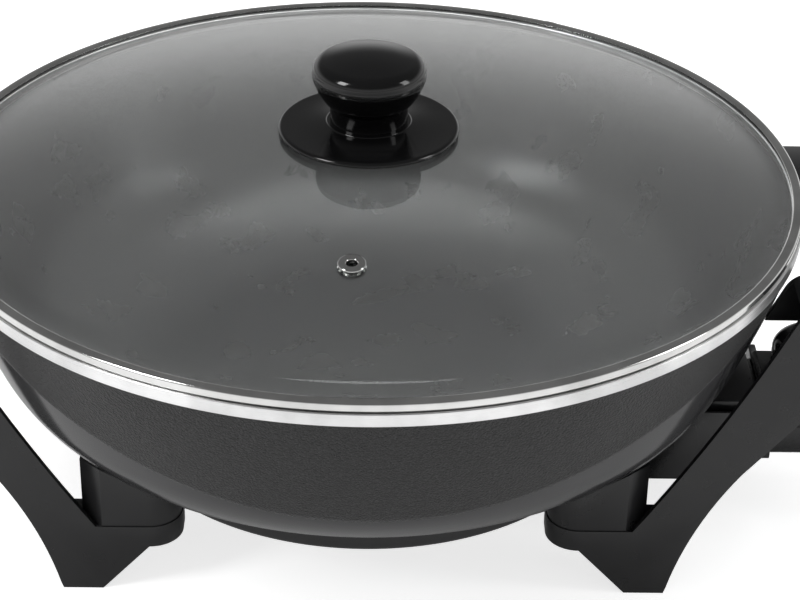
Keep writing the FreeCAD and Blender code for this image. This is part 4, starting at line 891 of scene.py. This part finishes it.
    def build_knob(self) -> list[bpy.types.Object]:
        """Make the flared skirt and the knob."""
        foot, radius, well, seat = 183.5, 37.7, 17.5, 187.5
        section = Outline(step=12.0)
        section.line(self.hole, foot + 2.0).line(radius - 2.0, foot + 1.0)
        section.line(radius - 2.0, foot).line(radius - 0.4, foot)
        section.arc(radius, foot + 0.4, 0.4, Turn.LEFT).arc(radius - 1.3, foot + 2.0, 1.5, Turn.LEFT)
        section.line(radius - 2.2, foot + 1.9).line(well + 0.8, seat - 0.5)
        section.arc(well, seat, 1.0, Turn.RIGHT).line(self.hole, seat)
        shape = turned(section, self.knob_steps)
        skirt = finish_mesh(shape, "knob_flare", (self.finishes.gloss_black,), Body.LID, sharp=50.0)
        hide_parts("knob_skirt")
        stud, stud_top, neck, waist, side = 2.5, 205.0, 16.2, 195.4, 23.5
        section = Outline(step=5.0)
        section.line(stud, seat).line(neck, seat).line(neck, waist - 0.4)
        section.line(neck + 0.4, waist).line(neck + 0.8, waist)
        section.arc(side, 206.5, 30.0, Turn.LEFT).arc(side, 210.0, 6.0, Turn.LEFT)
        section.arc(19.0, 215.25, 5.5, Turn.LEFT).arc(0.0, 218.0, 67.0, Turn.LEFT)
        section.line(0.0, stud_top).line(stud, stud_top)
        shape = turned(section, self.knob_steps)
        knob = finish_mesh(shape, "knob_grip", (self.finishes.gloss_black,), Body.LID, sharp=50.0)
        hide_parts("lid_knob")
        return [skirt, knob]

    def build(self) -> list[bpy.types.Object]:
        """Make every piece of the lid."""
        return [self.build_glass(), *self.build_ring(), self.build_vent(), *self.build_knob()]


@dataclass
class Control:
    """The plug-in heat control with its dial, in millimetres."""

    finishes: Finishes
    dial_x: float = 200.0
    dial_foot: float = 65.8
    dial_top: float = 82.0
    dial_radius: float = 21.0
    dial_rounding: float = 4.5
    dial_edge: float = 0.5
    dial_roof: float = 4.0
    dial_steps: int = 144
    spindle: float = 3.0
    case_edge: float = 0.35
    print_circle: float = 12.8
    print_height: float = 3.6
    print_rise: float = 0.02
    print_depth: float = 0.01
    print_arc: float = 270.0
    numbers: tuple[str, ...] = ("OFF", "1", "2", "3", "4", "5", "6", "7")

    def build_dial(self) -> bpy.types.Object:
        """Make the dial with its plain round side."""
        radius, rounding, edge = self.dial_radius, self.dial_rounding, self.dial_edge
        roof = self.dial_top - self.dial_roof
        section = Outline(step=10.0)
        section.line(self.spindle, self.dial_foot).line(radius - edge, self.dial_foot)
        section.arc(radius, self.dial_foot + edge, edge, Turn.LEFT)
        section.line(radius, self.dial_top - rounding)
        section.arc(radius - rounding, self.dial_top, rounding, Turn.LEFT)
        section.line(0.0, self.dial_top).line(0.0, roof).line(self.spindle, roof)
        shape = turned(section, self.dial_steps)
        bmesh.ops.translate(shape, vec=(self.dial_x * MM, 0, 0), verts=shape.verts)
        piece = finish_mesh(shape, "heat_dial", (self.finishes.gloss_black,), Body.DIAL, sharp=50.0)
        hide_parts("dial_knob")
        return piece

    def build_numbers(self) -> list[bpy.types.Object]:
        """Print the plain numbers round the dial's top."""
        pieces, reach = [], self.print_circle
        for number, word in enumerate(self.numbers):
            angle = math.radians(180.0 - number * self.print_arc / (len(self.numbers) - 1))
            place = Vector((self.dial_x + reach * math.cos(angle), reach * math.sin(angle),
                            self.dial_top + self.print_rise)) * MM
            pieces.append(self.printed(f"dial_mark_{number}", word, place, angle - math.pi / 2))
        return pieces

    def printed(self, name: str, word: str, place: Vector, turn: float) -> bpy.types.Object:
        """Lay a printed word flat on the dial.

        Args:
            name: The piece's name.
            word: What it says.
            place: The middle of the word, in metres.
            turn: Its turn about the upright axis, in radians.

        Returns:
            The new piece.
        """
        curve = bpy.data.curves.new(name, "FONT")
        curve.body, curve.size = word, self.print_height * MM
        curve.align_x, curve.align_y = "CENTER", "CENTER"
        curve.extrude = self.print_depth * MM
        text = bpy.data.objects.new(name, curve)
        bpy.context.scene.collection.objects.link(text)
        bpy.context.view_layer.update()
        mesh = bpy.data.meshes.new_from_object(text)
        bpy.data.objects.remove(text)
        shape = bmesh.new()
        shape.from_mesh(mesh)
        shape.transform(Matrix.Translation(place) @ Matrix.Rotation(turn, 4, "Z"))
        piece = finish_mesh(shape, name, (self.finishes.print_white,), Body.DIAL)
        return piece

    def build(self, moulder: SideFrames) -> list[bpy.types.Object]:
        """Make the case's halves, the dial and its numbers.

        Args:
            moulder: The class that softens a moulding's edges.

        Returns:
            The new pieces.
        """
        halves = [moulder.soften(f"control_case_{half}", f"control_shell_{half}", self.finishes.case_black,
                                 Body.CONTROL, self.case_edge) for half in ("lower", "upper")]
        return [*halves, self.build_dial(), *self.build_numbers()]


@dataclass
class Inside:
    """The CAD nodes whose shapes stay, with their finishes."""

    finishes: Finishes

    def build(self) -> None:
        """Dress the nodes."""
        finishes = self.finishes
        dress(("heating_element",), finishes.sheath)
        dress(("terminal_pins",), finishes.nickel)
        dress(("terminal_beads", "switch_block"), finishes.ceramic)
        dress(("probe_sleeve", "probe_rod", "dial_spindle"), finishes.plain_steel)
        dress(("frame_screws", "frame_washers", "cover_screws", "socket_screws", "case_screws",
               "knob_screw", "knob_washer"), finishes.zinc)
        dress(("knob_gasket", "knob_seal"), finishes.rubber)
        dress(("contact_sleeves", "switch_blades", "bimetal_strip"), finishes.brass)
        dress(("pilot_lens",), finishes.amber)


@dataclass
class Studio:
    """The floor, the lights and the camera.

    Args:
        distance: From the camera to the point it looks at, in metres.
        elevation: The camera's angle above the horizon, in degrees.
        azimuth: Its angle round the wok, in degrees.
        roll: Its tilt, in degrees.
        focal_pixels: Its focal length, in pixels of an image of image_width.
        image_width: Width of the photograph, in pixels.
        aim: How far right of the bowl's axis it looks, in metres.
        aim_height: Height of the point it looks at, in metres.
        floor_size: Half the floor's width, in metres.
        floor_glow: Light that the floor adds where it is seen straight or through glass.
        floor_mirrored: Light that it adds where a shiny surface shows it.
        room_light: Brightness of the room where it only lights the wok.
        horizon: Height over which a mirrored room fades, as a share of straight up, from and to.
        mirrored: Brightness of the mirrored room at those two heights.
    """

    distance: float = 0.9885
    elevation: float = 30.28
    azimuth: float = -0.767
    roll: float = 1.034
    focal_pixels: float = 2270.3
    image_width: float = 800.0
    aim: float = 14.3 * MM
    aim_height: float = 100.75 * MM
    floor_size: float = 6.0
    floor_glow: float = 0.72
    floor_mirrored: float = 0.05
    room_light: float = 0.45
    horizon: tuple[float, float] = (0.06, 0.42)
    mirrored: tuple[float, float] = (0.74, 0.14)

    def build_camera(self) -> None:
        """Place the camera of the photograph."""
        rise, turn, roll = (math.radians(angle) for angle in (self.elevation, self.azimuth, self.roll))
        back = Vector((math.sin(turn) * math.cos(rise), -math.cos(turn) * math.cos(rise), math.sin(rise)))
        right = Vector((math.cos(turn), math.sin(turn), 0.0))
        up = back.cross(right)
        tilted_right = right * math.cos(roll) + up * math.sin(roll)
        tilted_up = up * math.cos(roll) - right * math.sin(roll)
        data = bpy.data.cameras.new("photo_camera")
        data.sensor_width = 36.0
        data.lens = self.focal_pixels / self.image_width * data.sensor_width
        data.clip_start, data.clip_end = 0.05, 50.0
        camera = bpy.data.objects.new("photo_camera", data)
        target = right * self.aim + Vector((0, 0, self.aim_height))
        turned_to = Matrix((tilted_right, tilted_up, back)).transposed().to_4x4()
        camera.matrix_world = Matrix.Translation(target + back * self.distance) @ turned_to
        bpy.context.scene.collection.objects.link(camera)
        bpy.context.scene.camera = camera

    def build_floor(self) -> None:
        """Lay a pale floor that reads as white and keeps the shadow."""
        shape = bmesh.new()
        bmesh.ops.create_grid(shape, x_segments=1, y_segments=1, size=self.floor_size)
        mesh = bpy.data.meshes.new("floor")
        shape.to_mesh(mesh)
        shape.free()
        floor = bpy.data.objects.new("floor", mesh)
        bpy.context.scene.collection.objects.link(floor)
        shader = Shader("floor_white")
        path = shader.put("ShaderNodeLightPath").outputs
        seen = shader.combine(path["Is Camera Ray"], path["Is Transmission Ray"], "MAXIMUM")
        glow = shader.combine(seen, self.floor_glow, "MULTIPLY")
        mirrored = shader.combine(path["Is Glossy Ray"], self.floor_mirrored, "MULTIPLY")
        shader.set(Base_Color=(0.86, 0.86, 0.86), Roughness=0.9, Specular_IOR_Level=0.0,
                   Emission_Color=WHITE, Emission_Strength=shader.combine(glow, mirrored))
        mesh.materials.append(shader.material)

    def build_world(self) -> None:
        """Light the scene with a soft white room whose ceiling is dark to what mirrors it."""
        world = bpy.data.worlds.new("room")
        world.use_nodes = True
        nodes = Nodes(world.node_tree)
        path = nodes.put("ShaderNodeLightPath").outputs
        direction = nodes.put("ShaderNodeTexCoord").outputs["Generated"]
        height = nodes.put("ShaderNodeSeparateXYZ", {"Vector": direction}).outputs["Z"]
        ceiling = nodes.span(height, *self.mirrored, *self.horizon, course="SMOOTHSTEP")
        seen = nodes.combine(path["Is Camera Ray"], path["Is Transmission Ray"], "MAXIMUM")
        shown = nodes.combine(path["Is Glossy Ray"], ceiling, "MULTIPLY")
        room = nodes.span(path["Is Glossy Ray"], self.room_light, 0.0)
        strength = nodes.combine(nodes.combine(seen, shown, "MAXIMUM"), room, "MAXIMUM")
        background = world.node_tree.nodes["Background"]
        background.inputs["Color"].default_value = (*WHITE, 1.0)
        world.node_tree.links.new(strength, background.inputs["Strength"])
        bpy.context.scene.world = world

    def lamp(self, name: str, place: Sequence[float], aim: Sequence[float], size: tuple[float, float],
             power: float, mirrored: bool = True) -> None:
        """Hang a soft rectangular lamp.

        Args:
            name: The lamp's name.
            place: Where it hangs, in metres.
            aim: The point it shines at.
            size: Its width and height, in metres.
            power: Its power, in watts.
            mirrored: False for a lamp that shiny surfaces don't show.
        """
        data = bpy.data.lights.new(name, "AREA")
        data.shape, data.size, data.size_y, data.energy = "RECTANGLE", *size, power
        lamp = bpy.data.objects.new(name, data)
        lamp.location = Vector(place)
        lamp.visible_glossy = mirrored
        lamp.rotation_mode = "QUATERNION"
        lamp.rotation_quaternion = (Vector(aim) - Vector(place)).to_track_quat("-Z", "Y")
        bpy.context.scene.collection.objects.link(lamp)

    def build(self) -> None:
        """Set up the whole studio."""
        self.build_camera()
        self.build_floor()
        self.build_world()
        middle = (0.0, 0.0, 0.1)
        self.lamp("top_box", (0.0, 0.1, 1.5), middle, (1.2, 1.0), 11.0, mirrored=False)
        self.lamp("left_box", (-1.15, -0.65, 1.1), middle, (0.45, 0.6), 8.0)
        self.lamp("right_box", (1.5, -0.3, 0.8), middle, (0.4, 0.8), 4.0)
        bpy.context.scene.view_settings.view_transform = "Standard"


def main() -> None:
    """Build the studio and the wok."""
    logging.basicConfig(level=logging.INFO, format="%(message)s")
    Studio().build()
    finishes = Finishes()
    Bowl(finishes).build()
    BaseCover(finishes).build()
    frames = SideFrames(finishes)
    frames.build()
    Lid(finishes).build()
    Control(finishes).build(frames)
    Inside(finishes).build()


if __name__ == "__main__":
    main()
